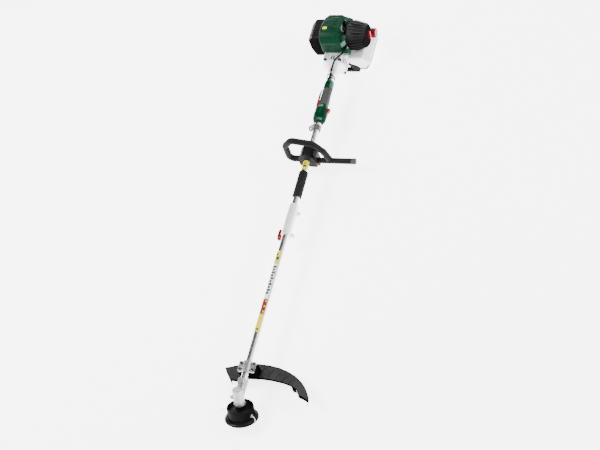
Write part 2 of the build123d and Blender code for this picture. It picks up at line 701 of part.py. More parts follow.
def grip_slots():
    """Bodies of the two slots in the grip, for the trigger and the lock lever."""
    with BuildPart() as slots:
        extrude(outline(sideways(TRIGGER_HALF + GAP), TRIGGER_SLOT), amount=2 * (TRIGGER_HALF + GAP))
        extrude(outline(CONTROL_SIDE.offset(-4 - GAP), LOCK_SLOT), amount=2 * (4 + GAP))
    return slots.part


GRIP_SLOTS = grip_slots()
CABLE_R = 4
SWITCH_X = 1250
with BuildPart() as control_shell:
    revolve(outline(BOOM_SIDE, COLLAR_PROFILE), SHAFT_AXIS)
    extrude(disc(across(COLLAR_START - 2), TUBE_R), amount=220, mode=Mode.SUBTRACT)
    add(GRIP_SLOTS, mode=Mode.SUBTRACT)
    # pocket of the stop switch
    extrude(
        outline(level(-6 - GAP, SWITCH_X), [(-6, -18), (34, -18), (34, -40), (-6, -40)]),
        amount=12 + 2 * GAP,
        mode=Mode.SUBTRACT,
    )
    # outlet of the throttle cable
    extrude(disc(across(GRIP_END, 0, 22), 6.5), amount=14)
    extrude(disc(across(1406, 0, 22), CABLE_R + 1), amount=20, mode=Mode.SUBTRACT)

with BuildPart() as control_housing_left:
    add(control_shell.part)
    extrude(plate(sideways(0, 1310), 320, 160), amount=-60, mode=Mode.SUBTRACT)
    extrude(disc(sideways(TRIGGER_HALF + GAP, TRIGGER_X, TRIGGER_Z), PIVOT_R), amount=2 * (TRIGGER_HALF + GAP))
control_housing_left.part.label = "control_housing_left"
export_step(control_housing_left.part, "parts/control_housing_left.step")

LOCK_PIVOT = Plane(
    origin=CONTROL_SIDE.from_local_coords((LOCK_X, LOCK_RADIUS, -4 - GAP)), z_dir=CONTROL_SIDE.z_dir
)
with BuildPart() as control_housing_right:
    add(control_shell.part)
    extrude(plate(sideways(0, 1310), 320, 160), amount=60, mode=Mode.SUBTRACT)
    extrude(disc(LOCK_PIVOT, PIVOT_R), amount=2 * (4 + GAP))
control_housing_right.part.label = "control_housing_right"
export_step(control_housing_right.part, "parts/control_housing_right.step")

RIB_STEP = 8
with BuildPart() as grip_sleeve:
    extrude(disc(across(GRIP_START), SLEEVE_R, INNER_R), amount=GRIP_END - GRIP_START)
    for rib in range(1, int((GRIP_END - GRIP_START) / RIB_STEP)):
        groove = disc(across(GRIP_START + rib * RIB_STEP - 1), SLEEVE_R + 1, SLEEVE_R - 1)
        extrude(groove, amount=2, mode=Mode.SUBTRACT)
    add(GRIP_SLOTS, mode=Mode.SUBTRACT)
grip_sleeve.part.label = "grip_sleeve"
export_step(grip_sleeve.part, "parts/grip_sleeve.step")

with BuildPart() as throttle_trigger:
    extrude(
        outline(
            sideways(TRIGGER_HALF),
            [
                (1276, -18), (1298, -18), (1366, -29), (1367, -35), (1344, -40), (1314, -39), (1292, -30),
                (1276, -26),
            ],
            1.5,
        ),
        amount=2 * TRIGGER_HALF,
    )
    extrude(
        disc(sideways(TRIGGER_HALF + 1, TRIGGER_X, TRIGGER_Z), PIVOT_R + RUNNING), amount=20, mode=Mode.SUBTRACT
    )
throttle_trigger.part.label = "throttle_trigger"
export_step(throttle_trigger.part, "parts/throttle_trigger.step")

with BuildPart() as throttle_lock:
    extrude(
        outline(
            CONTROL_SIDE.offset(-4),
            [(1268, 17.5), (1276, 17.5), (1318, 21), (1362, 22), (1364, 26), (1338, 28), (1288, 28), (1268, 25)],
            1.5,
        ),
        amount=8,
    )
    extrude(disc(LOCK_PIVOT, PIVOT_R + RUNNING), amount=12, mode=Mode.SUBTRACT)
throttle_lock.part.label = "throttle_lock"
export_step(throttle_lock.part, "parts/throttle_lock.step")

with BuildPart() as stop_switch:
    extrude(
        outline(level(-6, SWITCH_X), [(-2, -18.4), (24, -18.4), (28, -34), (22, -35), (4, -28), (-2, -27)], 1),
        amount=12,
    )
stop_switch.part.label = "stop_switch"
export_step(stop_switch.part, "parts/stop_switch.step")

CABLE_POINTS = [
    (1407, 0, 22), (1440, -1, 20), (1470, -4, 30), (1494, -14, 50), (1512, -42, 60), (1534, -55, 66),
    (1564, -52, 60), (1591.5, -50, 58),
]
cable_points = [Vector(station(x), y, SHAFT_Z + z) for x, y, z in CABLE_POINTS]
with BuildPart() as throttle_cable:
    with BuildLine() as cable_path:
        FilletPolyline(*cable_points, radius=cord_radii(cable_points))
    with BuildSketch(Plane(origin=cable_points[0], z_dir=cable_points[1] - cable_points[0])):
        Circle(CABLE_R)
    sweep(path=cable_path.wires()[0])
throttle_cable.part.label = "throttle_cable"
export_step(throttle_cable.part, "parts/throttle_cable.step")

# ---------------------------------------------------------------- clutch
BELL_R = 46
BOSS_PLACES = [(y, z) for y in (-31, 31) for z in (-40, 40)]
with BuildPart() as clutch_housing:
    revolve(
        outline(
            BOOM_SIDE,
            [
                (CLUTCH_START, 0), (CLUTCH_START, 20), (1478, 21), (1496, BELL_R), (FAN_START, BELL_R),
                (FAN_START, 0),
            ],
        ),
        SHAFT_AXIS,
    )
    for y, z in BOSS_PLACES:
        extrude(disc(across(1502, y, z), 8), amount=FAN_START - 1502)
    revolve(
        outline(
            BOOM_SIDE,
            [
                (CLUTCH_START, 0), (CLUTCH_START, TUBE_R), (1490, TUBE_R), (1490, 16), (1496, 41.5),
                (FAN_START, 41.5), (FAN_START, 0),
            ],
        ),
        SHAFT_AXIS,
        mode=Mode.SUBTRACT,
    )
    for y, z in BOSS_PLACES:
        extrude(disc(across(1500, y, z), BOLT_R), amount=24, mode=Mode.SUBTRACT)
clutch_housing.part.label = "clutch_housing"
export_step(clutch_housing.part, "parts/clutch_housing.step")

DRUM_R = 39
DRUM_INNER = 36.5
with BuildPart() as clutch_drum:
    revolve(
        outline(
            BOOM_SIDE,
            [
                (DRUM_STUB_START, SPLINE_R), (DRUM_STUB_START, 5 - RUNNING), (1493, 5 - RUNNING), (1495, 12),
                (1498.5, DRUM_R), (1518, DRUM_R), (1518, DRUM_INNER), (1501, DRUM_INNER), (1498, 12), (1497, 0),
                (1475, 0), (1475, SPLINE_R),
            ],
        ),
        SHAFT_AXIS,
    )
clutch_drum.part.label = "clutch_drum"
export_step(clutch_drum.part, "parts/clutch_drum.step")

SHOE_R = 34
SHOE_INNER = 14
with BuildPart() as clutch_shoes:
    extrude(disc(across(1502.5), SHOE_R, SHOE_INNER), amount=13)
    extrude(plate(across(1501), 7, 90), amount=20, mode=Mode.SUBTRACT)
clutch_shoes.part.label = "clutch_shoes"
export_step(clutch_shoes.part, "parts/clutch_shoes.step")

# ---------------------------------------------------------------- fan housing and crankcase in one casting
FAN_END = 1547
CASE_START = 1578
CASE_END = 1646
CASE_HALF_Y = 37
CASE_BOTTOM = -42
CASE_TOP = 32
CHAMBER_R = 27
with BuildPart() as crankcase:
    extrude(disc(across(FAN_START), 52), amount=FAN_END - FAN_START)
    for y, z in BOSS_PLACES:
        extrude(disc(across(FAN_START, y, z), 8), amount=14)
    extrude(disc(across(FAN_END - 4), 40), amount=CASE_START - FAN_END + 4)
    extrude(
        outline(
            across(CASE_START - 6),
            [
                (-CASE_HALF_Y, CASE_BOTTOM + 12), (-24, CASE_BOTTOM), (24, CASE_BOTTOM),
                (CASE_HALF_Y, CASE_BOTTOM + 12), (CASE_HALF_Y, CASE_TOP), (-CASE_HALF_Y, CASE_TOP),
            ],
        ),
        amount=CASE_END - CASE_START + 8,
    )
    revolve(
        outline(
            BOOM_SIDE,
            [
                (FAN_START, 0), (FAN_START, 49), (FAN_END - 4, 49), (FAN_END - 4, 9), (CASE_START + 3, 9),
                (CASE_START + 3, 16), (CASE_START + 12, 16), (CASE_START + 12, CHAMBER_R), (1634, CHAMBER_R),
                (1634, 16), (1643, 16), (1643, 9), (CASE_END + 3, 9), (CASE_END + 3, 0),
            ],
        ),
        SHAFT_AXIS,
        mode=Mode.SUBTRACT,
    )
    extrude(disc(level(0, CRANK_X), 19), amount=60, mode=Mode.SUBTRACT)
    for y, z in BOSS_PLACES:
        extrude(disc(across(FAN_START - 1, y, z), BOLT_R), amount=10, mode=Mode.SUBTRACT)
    for place in (1594, 1630):
        extrude(disc(level(CASE_BOTTOM - 1, place), BOLT_R), amount=9, mode=Mode.SUBTRACT)
crankcase.part.label = "crankcase"
export_step(crankcase.part, "parts/crankcase.step")

CRANK_R = STROKE / 2
JOURNAL_R = 7.5 - RUNNING
WEB_R = 25
PIN_GAP = 0.3
with BuildPart() as crankshaft:
    extrude(disc(across(1502.5), SHOE_INNER), amount=14)
    extrude(disc(across(1516), JOURNAL_R), amount=1592 - 1516)
    extrude(disc(across(1592), WEB_R), amount=13)
    extrude(disc(across(1619), WEB_R), amount=13)
    extrude(disc(across(1631), JOURNAL_R), amount=34)
    for start in (1592, 1619):
        with BuildSketch(across(start - 1)):
            with Locations((-21, 14), (21, 14)):
                Rectangle(14, 26)
        extrude(amount=16, mode=Mode.SUBTRACT)
crankshaft.part.label = "crankshaft"
export_step(crankshaft.part, "parts/crankshaft.step")

FAN_R = 45
BLADES = 14
with BuildPart() as flywheel:
    extrude(disc(across(1530), FAN_R, 7.5), amount=5)
    extrude(disc(across(1524), 17, 7.5), amount=17)
    for blade in range(BLADES):
        turn = radians(360 * blade / BLADES)
        vane = Plane(
            origin=(station(1534), 31 * cos(turn), SHAFT_Z + 31 * sin(turn)),
            x_dir=(0, cos(turn + 0.5), sin(turn + 0.5)),
            z_dir=(1, 0, 0),
        )
        extrude(plate(vane, 22, 2), amount=7)
flywheel.part.label = "flywheel"
export_step(flywheel.part, "parts/flywheel.step")

# ---------------------------------------------------------------- cylinder, piston and spark plug
CYLINDER_R = BORE / 2
HEAD_ROOM_Z = CRANK_R + ROD_LENGTH + 15 + 4
FIN_STEP = 8
FINS = 8
PLUG_TILT = 40
PLUG_AT = Plane(
    origin=(station(CRANK_X), -9, SHAFT_Z + 92),
    z_dir=(0, -sin(radians(PLUG_TILT)), cos(radians(PLUG_TILT))),
)
with BuildPart() as cylinder:
    extrude(disc(level(CASE_TOP, CRANK_X), CYLINDER_R + 4.5), amount=68)
    extrude(plate(level(CASE_TOP, CRANK_X), 60, 60, 6), amount=5)
    for fin in range(FINS):
        extrude(plate(level(CASE_TOP + 10 + fin * FIN_STEP, CRANK_X), 60, 58, 14), amount=2.2)
    # flanges of the inlet and exhaust ports
    extrude(plate(sideways(0, CRANK_X, 56), 34, 26, 4), amount=36)
    extrude(plate(sideways(0, CRANK_X, 54), 34, 26, 4), amount=-36)
    extrude(
        disc(level(CASE_TOP - 1, CRANK_X), CYLINDER_R), amount=HEAD_ROOM_Z - CASE_TOP + 1, mode=Mode.SUBTRACT
    )
    extrude(disc(sideways(0, CRANK_X, 56), 7), amount=40, mode=Mode.SUBTRACT)
    extrude(disc(sideways(0, CRANK_X, 54), 7), amount=-40, mode=Mode.SUBTRACT)
    extrude(disc(PLUG_AT, 5), amount=-20, mode=Mode.SUBTRACT)
    extrude(disc(PLUG_AT, 10), amount=40, mode=Mode.SUBTRACT)
cylinder.part.label = "cylinder"
export_step(cylinder.part, "parts/cylinder.step")

PIN_Z = CRANK_R + ROD_LENGTH
with BuildPart() as piston_and_rod:
    # piston at the top of its stroke
    extrude(disc(level(PIN_Z - 13, CRANK_X), CYLINDER_R - 0.1), amount=27)
    extrude(disc(level(PIN_Z - 14, CRANK_X), CYLINDER_R - 3), amount=22, mode=Mode.SUBTRACT)
    for rise in (5, 9):
        extrude(disc(level(PIN_Z + rise, CRANK_X), 20, CYLINDER_R - 1.2), amount=1.4, mode=Mode.SUBTRACT)
    extrude(disc(across(CRANK_X - 15.5, 0, PIN_Z), 4.4), amount=31)
    # connecting rod and crank pin
    extrude(disc(across(CRANK_X - 5, 0, CRANK_R), 9), amount=10)
    extrude(disc(across(CRANK_X - 5, 0, PIN_Z), 6.5), amount=10)
    extrude(plate(across(CRANK_X - 3, 0, (CRANK_R + PIN_Z) / 2), 8, ROD_LENGTH - 8), amount=6)
    extrude(disc(across(1605 + PIN_GAP, 0, CRANK_R), 5.5), amount=14 - 2 * PIN_GAP)
piston_and_rod.part.label = "piston_and_rod"
export_step(piston_and_rod.part, "parts/piston_and_rod.step")

with BuildPart() as spark_plug:
    extrude(disc(PLUG_AT, 5), amount=-12)
    extrude(disc(PLUG_AT, 7), amount=2)
    with BuildSketch(PLUG_AT.offset(2)):
        RegularPolygon(radius=8.5, side_count=6)
    extrude(amount=9)
    extrude(disc(PLUG_AT.offset(11), 5), amount=16)
    extrude(disc(PLUG_AT.offset(27), 2.8), amount=6)
spark_plug.part.label = "spark_plug"
export_step(spark_plug.part, "parts/spark_plug.step")

# ---------------------------------------------------------------- top cover
COVER_HALF_Y = 41
COVER_PROFILE = [
    (1524, 56), (1524, 112), (1534, 136), (1552, 148), (1580, 148), (1664, 128), (1664, 60), (1600, 44),
]
COVER_PLAN = [(1500, -60), (1500, 60), (1600, 60), (1670, 26), (1670, -30), (1600, -60)]
COVER_CORE_PROFILE = [
    (1526.5, 30), (1526.5, 111), (1536, 133.5), (1553, 145.3), (1579, 145.3), (1661, 125.5), (1661, 30),
]
COVER_CORE_PLAN = [(1526, -38.5), (1526, 38.5), (1599, 38.5), (1662, 25), (1662, -27), (1599, -38.5)]
with BuildPart() as cover_core:
    extrude(outline(sideways(COVER_HALF_Y), COVER_CORE_PROFILE), amount=2 * COVER_HALF_Y)
    extrude(outline(level(0), COVER_CORE_PLAN), amount=180, mode=Mode.INTERSECT)
FLAP_PLAN = [(1528, -39.5), (1552, -58), (1574, -58), (1582, -39.5)]
BRIDGE_PLAN = [(1640, -30), (1660, -28), (1642, -78), (1622, -78)]
PORT_Z = 55
with BuildPart() as top_cover:
    extrude(outline(sideways(COVER_HALF_Y), COVER_PROFILE, 5), amount=2 * COVER_HALF_Y)
    extrude(outline(level(0), COVER_PLAN), amount=180, mode=Mode.INTERSECT)
    upper_edges = top_cover.edges().filter_by(lambda e: e.center().Z > SHAFT_Z + 60)
    fillet(upper_edges.filter_by(Axis.Y, reverse=True), 6)
    add(cover_core.part, mode=Mode.SUBTRACT)
    # side flap, apron below the cable, and bridge over the air filter
    extrude(outline(level(74), FLAP_PLAN), amount=30)
    extrude(outline(level(38), [(1526, -72), (1549, -72), (1549, -41), (1526, -41)], 4), amount=16)
    extrude(outline(level(50), [(1536, -47), (1549, -47), (1549, -39.5), (1536, -39.5)]), amount=12)
    extrude(outline(level(123), BRIDGE_PLAN), amount=4)
    # recess of the spark plug, and the notches of the two ports
    extrude(
        outline(sideways(-20), [(1592, 40), (1640, 40), (1640, 126), (1606, 130), (1592, 112)], 4),
        amount=40,
        mode=Mode.SUBTRACT,
    )
    extrude(plate(sideways(60, CRANK_X, PORT_Z - 10), 42, 56), amount=30, mode=Mode.SUBTRACT)
top_cover.part.label = "top_cover"
export_step(top_cover.part, "parts/top_cover.step")

# ---------------------------------------------------------------- muffler and its cover
with BuildPart() as muffler:
    with BuildSketch(level(24, CRANK_X, 61)):
        Rectangle(66, 38)
    extrude(amount=56)
    fillet(muffler.edges(), 5)
    extrude(plate(sideways(44, CRANK_X, 54), 34, 26), amount=8)
    extrude(disc(across(1640, 66, 40), 6), amount=16)
muffler.part.label = "muffler"
export_step(muffler.part, "parts/muffler.step")

MUFFLER_Y = 109
MUFFLER_SECTION = [(42, 2), (86, 2), (MUFFLER_Y, 29), (MUFFLER_Y, 82), (88, 103), (42, 103)]
MUFFLER_PLAN = [(1552, 30), (1558, 92), (1576, 116), (1644, 116), (1660, 92), (1666, 30)]
MUFFLER_HOLLOW = [(40, 6), (83, 6), (104, 31), (104, 80), (86, 99), (40, 99)]
with BuildPart() as muffler_cover:
    extrude(outline(across(1558), MUFFLER_SECTION, 3), amount=104)
    extrude(outline(level(0), MUFFLER_PLAN), amount=120, mode=Mode.INTERSECT)
    extrude(outline(across(1562), MUFFLER_HOLLOW), amount=96, mode=Mode.SUBTRACT)
    for slot in range(6):
        extrude(plate(sideways(125, CRANK_X, 34 + slot * 9), 62, 3.5), amount=30, mode=Mode.SUBTRACT)
muffler_cover.part.label = "muffler_cover"
export_step(muffler_cover.part, "parts/muffler_cover.step")

# ---------------------------------------------------------------- carburettor, air filter and primer
FILTER_Z = 62
FILTER_FACE_Y = -133
FILTER_BASE_Y = -60
FILTER_AXIS = Axis((station(CRANK_X), 0, SHAFT_Z + FILTER_Z), (0, -1, 0))
FILTER_TOP_VIEW = level(FILTER_Z)


def filter_profile(points):
    """Radius from the filter's axis and distance to the left, as a half section."""
    return outline(FILTER_TOP_VIEW, [(CRANK_X + radius, y) for radius, y in points])


PRIMER_X = 1605
PRIMER_Y = -55
PRIMER_R = 7
with BuildPart() as carburettor:
    extrude(plate(sideways(-36, CRANK_X, 56), 34, 26, 4), amount=8)
    extrude(plate(sideways(-44, CRANK_X, 56), 32, 36, 5), amount=22)
    extrude(plate(sideways(-66, CRANK_X, 58), 60, 56, 12), amount=4)
    extrude(disc(level(35.5, PRIMER_X, PRIMER_Y), PRIMER_R + 2), amount=4)
    extrude(disc(sideways(-35, CRANK_X, 56), 7), amount=36, mode=Mode.SUBTRACT)
    extrude(disc(level(35, PRIMER_X, PRIMER_Y), PRIMER_R + GAP), amount=11, mode=Mode.SUBTRACT)
    extrude(disc(across(1588, -50, 58), 6.5), amount=9)
    extrude(disc(across(1587, -50, 58), CABLE_R + 1), amount=5, mode=Mode.SUBTRACT)
carburettor.part.label = "carburettor"
export_step(carburettor.part, "parts/carburettor.step")

CHOKE_STEM_R = 4
FILTER_OUTSIDE = [
    (0, FILTER_FACE_Y), (42, FILTER_FACE_Y), (48, -128), (61, -84), (61, FILTER_BASE_Y), (0, FILTER_BASE_Y),
]
FILTER_INSIDE = [(0, -130), (41, -130), (45.5, -126), (58.5, -84), (58.5, FILTER_BASE_Y), (0, FILTER_BASE_Y)]
with BuildPart() as filter_cover:
    revolve(
        filter_profile(FILTER_OUTSIDE),
        FILTER_AXIS,
    )
    revolve(
        filter_profile(FILTER_INSIDE),
        FILTER_AXIS,
        mode=Mode.SUBTRACT,
    )
    for slot in range(5):
        turn = radians(52 + slot * 19)
        tilt = Plane(
            origin=(station(CRANK_X), 0, SHAFT_Z + FILTER_Z),
            x_dir=(sin(turn), 0, -cos(turn)),
            z_dir=(-cos(turn), 0, sin(turn)),
        )
        with BuildSketch(tilt.offset(40)):
            with Locations((0, -96)):
                Rectangle(5, 34)
        extrude(amount=40, mode=Mode.SUBTRACT)
    extrude(disc(sideways(-126, CRANK_X, FILTER_Z), CHOKE_STEM_R + RUNNING), amount=10, mode=Mode.SUBTRACT)
filter_cover.part.label = "filter_cover"
export_step(filter_cover.part, "parts/filter_cover.step")

with BuildPart() as choke_lever:
    extrude(disc(sideways(-118, CRANK_X, FILTER_Z), CHOKE_STEM_R), amount=17)
    extrude(disc(sideways(-133.5, CRANK_X, FILTER_Z), 9), amount=4)
    with BuildSketch(sideways(-134, CRANK_X, FILTER_Z)):
        SlotCenterToCenter(26, 9, rotation=70)
    extrude(amount=9)
choke_lever.part.label = "choke_lever"
export_step(choke_lever.part, "parts/choke_lever.step")

with BuildPart() as primer_bulb:
    extrude(disc(level(41, PRIMER_X, PRIMER_Y), PRIMER_R), amount=-11)
    fillet(primer_bulb.faces().sort_by(Axis.Z)[0].edges(), 4)
primer_bulb.part.label = "primer_bulb"
export_step(primer_bulb.part, "parts/primer_bulb.step")

# ---------------------------------------------------------------- recoil starter at the back
STARTER_START = 1648
STARTER_END = 1706
STARTER_R = 41.5
PULLEY_R = 30
ROPE_X = 1681
ROPE_Z = PULLEY_R - 1
with BuildPart() as starter_housing:
    revolve(
        outline(
            BOOM_SIDE,
            [
                (STARTER_START, 0), (STARTER_START, STARTER_R), (1694, STARTER_R), (STARTER_END, 32),
                (STARTER_END, 0),
            ],
        ),
        SHAFT_AXIS,
    )
    extrude(plate(across(1669, 40, ROPE_Z), 26, 20, 3), amount=24)
    revolve(
        outline(
            BOOM_SIDE,
            [
                (STARTER_START, 0), (STARTER_START, 38.5), (1692, 38.5), (1703, 30), (1703, 5), (1690, 5),
                (1690, 0),
            ],
        ),
        SHAFT_AXIS,
        mode=Mode.SUBTRACT,
    )
    extrude(disc(sideways(20, ROPE_X, ROPE_Z), 3), amount=-50, mode=Mode.SUBTRACT)
starter_housing.part.label = "starter_housing"
export_step(starter_housing.part, "parts/starter_housing.step")

with BuildPart() as starter_pulley:
    revolve(
        outline(
            BOOM_SIDE,
            [
                (1675, 9), (1675, 33), (1678, 33), (1678, PULLEY_R - 4), (1684, PULLEY_R - 4), (1684, 33),
                (1687, 33), (1687, 9),
            ],
        ),
        SHAFT_AXIS,
    )
    extrude(disc(across(1686), 20, 5 + RUNNING), amount=12)
starter_pulley.part.label = "starter_pulley"
export_step(starter_pulley.part, "parts/starter_pulley.step")

HANDLE_Y = 74
with BuildPart() as starter_handle:
    extrude(plate(sideways(HANDLE_Y, ROPE_X, ROPE_Z), 18, 34, 7), amount=20)
    extrude(disc(sideways(HANDLE_Y, ROPE_X, ROPE_Z), 2), amount=38)
starter_handle.part.label = "starter_handle"
export_step(starter_handle.part, "parts/starter_handle.step")

# ---------------------------------------------------------------- fuel tank and cap
TANK_START = 1548
TANK_END = 1700
TANK_SECTION = [
    (-42, -6), (-42, -42), (-74, -58), (-80, -74), (-108, -74), (-130, -44), (-130, -34), (-102, -6),
]
TANK_HOLLOW = [
    (-46, -10), (-46, -40), (-77, -56), (-84, -70), (-106, -70), (-126, -43), (-126, -36), (-100, -10),
]
CAP_X = 1680
CAP_Z = 0
CAP_FACE_Y = -118
NECK_PROFILE = [(1664, -30), (TANK_END, -30), (TANK_END, 12), (1692, 19), (1672, 19), (1664, 12)]
with BuildPart() as fuel_tank:
    extrude(outline(across(TANK_START), TANK_SECTION, 10), amount=TANK_END - TANK_START)
    fillet(fuel_tank.edges().group_by(Axis.X)[0], 8)
    fillet(fuel_tank.edges().group_by(Axis.X)[-1], 8)
    extrude(outline(sideways(-86), NECK_PROFILE, 3), amount=32)
    # hollow inside
    extrude(
        outline(across(TANK_START + 6), TANK_HOLLOW),
        amount=TANK_END - TANK_START - 12,
        mode=Mode.SUBTRACT,
    )
    extrude(disc(sideways(-92, CAP_X, CAP_Z), 9), amount=40, mode=Mode.SUBTRACT)
    extrude(plate(sideways(-92, CAP_X, -8), 14, 16), amount=22, mode=Mode.SUBTRACT)
fuel_tank.part.label = "fuel_tank"
export_step(fuel_tank.part, "parts/fuel_tank.step")

CAP_R = 20
CAP_RIBS = 16
with BuildPart() as fuel_cap:
    extrude(disc(sideways(CAP_FACE_Y + 12, CAP_X, CAP_Z), 9 - GAP), amount=16)
    extrude(disc(sideways(CAP_FACE_Y - GAP, CAP_X, CAP_Z), CAP_R), amount=20)
    fillet(fuel_cap.faces().sort_by(Axis.Y)[0].edges(), 3)
    with Locations(sideways(CAP_FACE_Y - 8, CAP_X, CAP_Z)):
        with PolarLocations(CAP_R + 1, CAP_RIBS):
            Cylinder(2, 18, mode=Mode.SUBTRACT)
fuel_cap.part.label = "fuel_cap"
export_step(fuel_cap.part, "parts/fuel_cap.step")

# ---------------------------------------------------------------- engine stand
STAND_X = -HEAD_X
STAND_DEPTH = 16
STAND_FRONT = across(STAND_X - STAND_DEPTH / 2)
FOOT_Z = 6 - SHAFT_Z
with BuildPart() as engine_stand:
    extrude(plate(level(-SHAFT_Z, STAND_X), STAND_DEPTH, 138), amount=8)
    extrude(outline(STAND_FRONT, [(-69, FOOT_Z), (69, FOOT_Z), (36, -47), (-36, -47)]), amount=STAND_DEPTH)
    extrude(
        outline(STAND_FRONT, [(-48, FOOT_Z + 6), (48, FOOT_Z + 6), (26, -56), (-26, -56)], 4),
        amount=STAND_DEPTH,
        mode=Mode.SUBTRACT,
    )
    extrude(plate(level(-47, STAND_X + 34), 84, 40), amount=5)
    with Locations(level(-45, 1594), level(-45, 1630)):
        Cylinder(BOLT_R, 20, mode=Mode.SUBTRACT)
engine_stand.part.label = "engine_stand"
export_step(engine_stand.part, "parts/engine_stand.step")

# ---------------------------------------------------------------- all the socket-head bolts
BOLT_PLANES = list(GUARD_BOLTS)
BOLT_PLANES += [level(9, place, y) for place, y in HANDLE_BOLTS]
BOLT_PLANES += [Plane(origin=(station(PINCH_STATIONS[1]), 12, SHAFT_Z + PINCH_Z), z_dir=(0, 1, 0))]
BOLT_PLANES += [Plane(origin=(station(1502), y, SHAFT_Z + z), z_dir=(-1, 0, 0)) for y, z in BOSS_PLACES]
BOLT_PLANES += [Plane(origin=(HEAD_X, 26, SHAFT_Z), z_dir=(0, 1, 0))]
with BuildPart() as socket_bolts:
    for plane in BOLT_PLANES:
        add(plane.location * bolt.part)
socket_bolts.part.label = "socket_bolts"
export_step(socket_bolts.part, "parts/socket_bolts.step")
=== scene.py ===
import bmesh
import bpy
from math import cos, radians, sin, tau
from mathutils import Euler, Matrix, Vector


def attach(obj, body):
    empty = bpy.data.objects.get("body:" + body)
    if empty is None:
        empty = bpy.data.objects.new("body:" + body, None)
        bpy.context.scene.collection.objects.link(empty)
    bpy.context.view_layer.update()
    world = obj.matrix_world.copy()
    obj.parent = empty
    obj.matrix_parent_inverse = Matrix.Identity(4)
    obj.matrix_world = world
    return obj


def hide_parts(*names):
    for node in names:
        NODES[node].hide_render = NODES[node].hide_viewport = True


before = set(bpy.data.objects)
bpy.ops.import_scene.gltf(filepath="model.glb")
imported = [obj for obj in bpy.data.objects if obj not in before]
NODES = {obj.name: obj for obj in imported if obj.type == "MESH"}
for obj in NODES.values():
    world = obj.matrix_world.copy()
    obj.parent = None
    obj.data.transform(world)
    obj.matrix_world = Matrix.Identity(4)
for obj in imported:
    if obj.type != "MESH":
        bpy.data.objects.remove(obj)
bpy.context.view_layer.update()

MM = 0.001
SHAFT_Z = 105  # height of the boom's axis above the floor, in mm
CROSSING = 1569  # from the cutting head's crossing to the row's origin, in mm
TUBE_R = 13
HANDLE_X = 1043  # station of the barrier bar
BOSS_PLACES = [(y, z) for y in (-31, 31) for z in (-40, 40)]  # bolts of the clutch casting


def at(distance, y=0, z=0):
    """Row position of a point given in mm from the head's crossing, with z from the boom's axis."""
    return Vector(((distance - CROSSING) * MM, y * MM, (SHAFT_Z + z) * MM))


# ---------------------------------------------------------------- camera
LENS = 77.62
CAMERA_PLACE = (-3.313, -1.756, 3.887)
RIGHT = Vector((0.2352, -0.93396, -0.26907))
UP = Vector((0.82668, 0.046645, 0.56073))
BACK = Vector((-0.51115, -0.35432, 0.78306))
camera_data = bpy.data.cameras.new("camera")
camera_data.sensor_width = 36
camera_data.lens = LENS
camera = bpy.data.objects.new("camera", camera_data)
bpy.context.scene.collection.objects.link(camera)
turn = Matrix((RIGHT, UP, BACK)).transposed().to_4x4()
camera.matrix_world = Matrix.Translation(CAMERA_PLACE) @ turn
bpy.context.scene.camera = camera


# ---------------------------------------------------------------- materials
WALL_TILT = (0.35, 0.75)  # a face is a wall, which gets the painted shade, below the first upward share of its normal and a top above the second
EDGE_POINTINESS = (0.5, 0.62)  # where an edge starts to lighten with wear and painted glint, and where it is fully lightened
WEAR_GLINT_GAIN = 2.2
WEAR_GLINT_LIFT = 0.03


class Nodes:
    """One material's node tree."""

    def __init__(self, name):
        self.material = bpy.data.materials.new(name)
        self.material.use_nodes = True
        self.tree = self.material.node_tree
        self.shader = self.tree.nodes["Principled BSDF"]
        self.place = self.tree.nodes.new("ShaderNodeTexCoord").outputs["Object"]

    def add(self, kind, **inputs):
        node = self.tree.nodes.new(kind)
        for name, value in inputs.items():
            self.put(node.inputs[name.replace("_", " ")], value)
        return node

    def put(self, socket, value):
        if isinstance(value, bpy.types.NodeSocket):
            self.tree.links.new(value, socket)
        else:
            socket.default_value = value

    def noise(self, scale, detail=4.0, rough=0.55, stretch=None):
        place = self.place
        if stretch:
            place = self.add("ShaderNodeMapping", Vector=place, Scale=stretch).outputs["Vector"]
        texture = self.add("ShaderNodeTexNoise", Vector=place, Scale=scale, Detail=detail, Roughness=rough)
        return texture.outputs["Fac"]

    def cells(self, scale):
        return self.add("ShaderNodeTexVoronoi", Vector=self.place, Scale=scale).outputs["Distance"]

    def spread(self, value, low, high, start=0.3, end=0.7):
        node = self.add("ShaderNodeMapRange", Value=value)
        node.inputs["From Min"].default_value = start
        node.inputs["From Max"].default_value = end
        node.inputs["To Min"].default_value = low
        node.inputs["To Max"].default_value = high
        return node.outputs["Result"]

    def mix(self, factor, first, second):
        node = self.tree.nodes.new("ShaderNodeMix")
        node.data_type = "RGBA"
        self.put(node.inputs[0], factor)
        self.put(node.inputs[6], first)
        self.put(node.inputs[7], second)
        return node.outputs[2]

    def edges(self):
        pointed = self.tree.nodes.new("ShaderNodeNewGeometry").outputs["Pointiness"]
        return self.spread(pointed, 0.0, 1.0, *EDGE_POINTINESS)

    def bump(self, height, strength, depth):
        return self.add("ShaderNodeBump", Height=height, Strength=strength, Distance=depth).outputs["Normal"]


def shade(colour, factor):
    return (colour[0] * factor, colour[1] * factor, colour[2] * factor, 1.0)


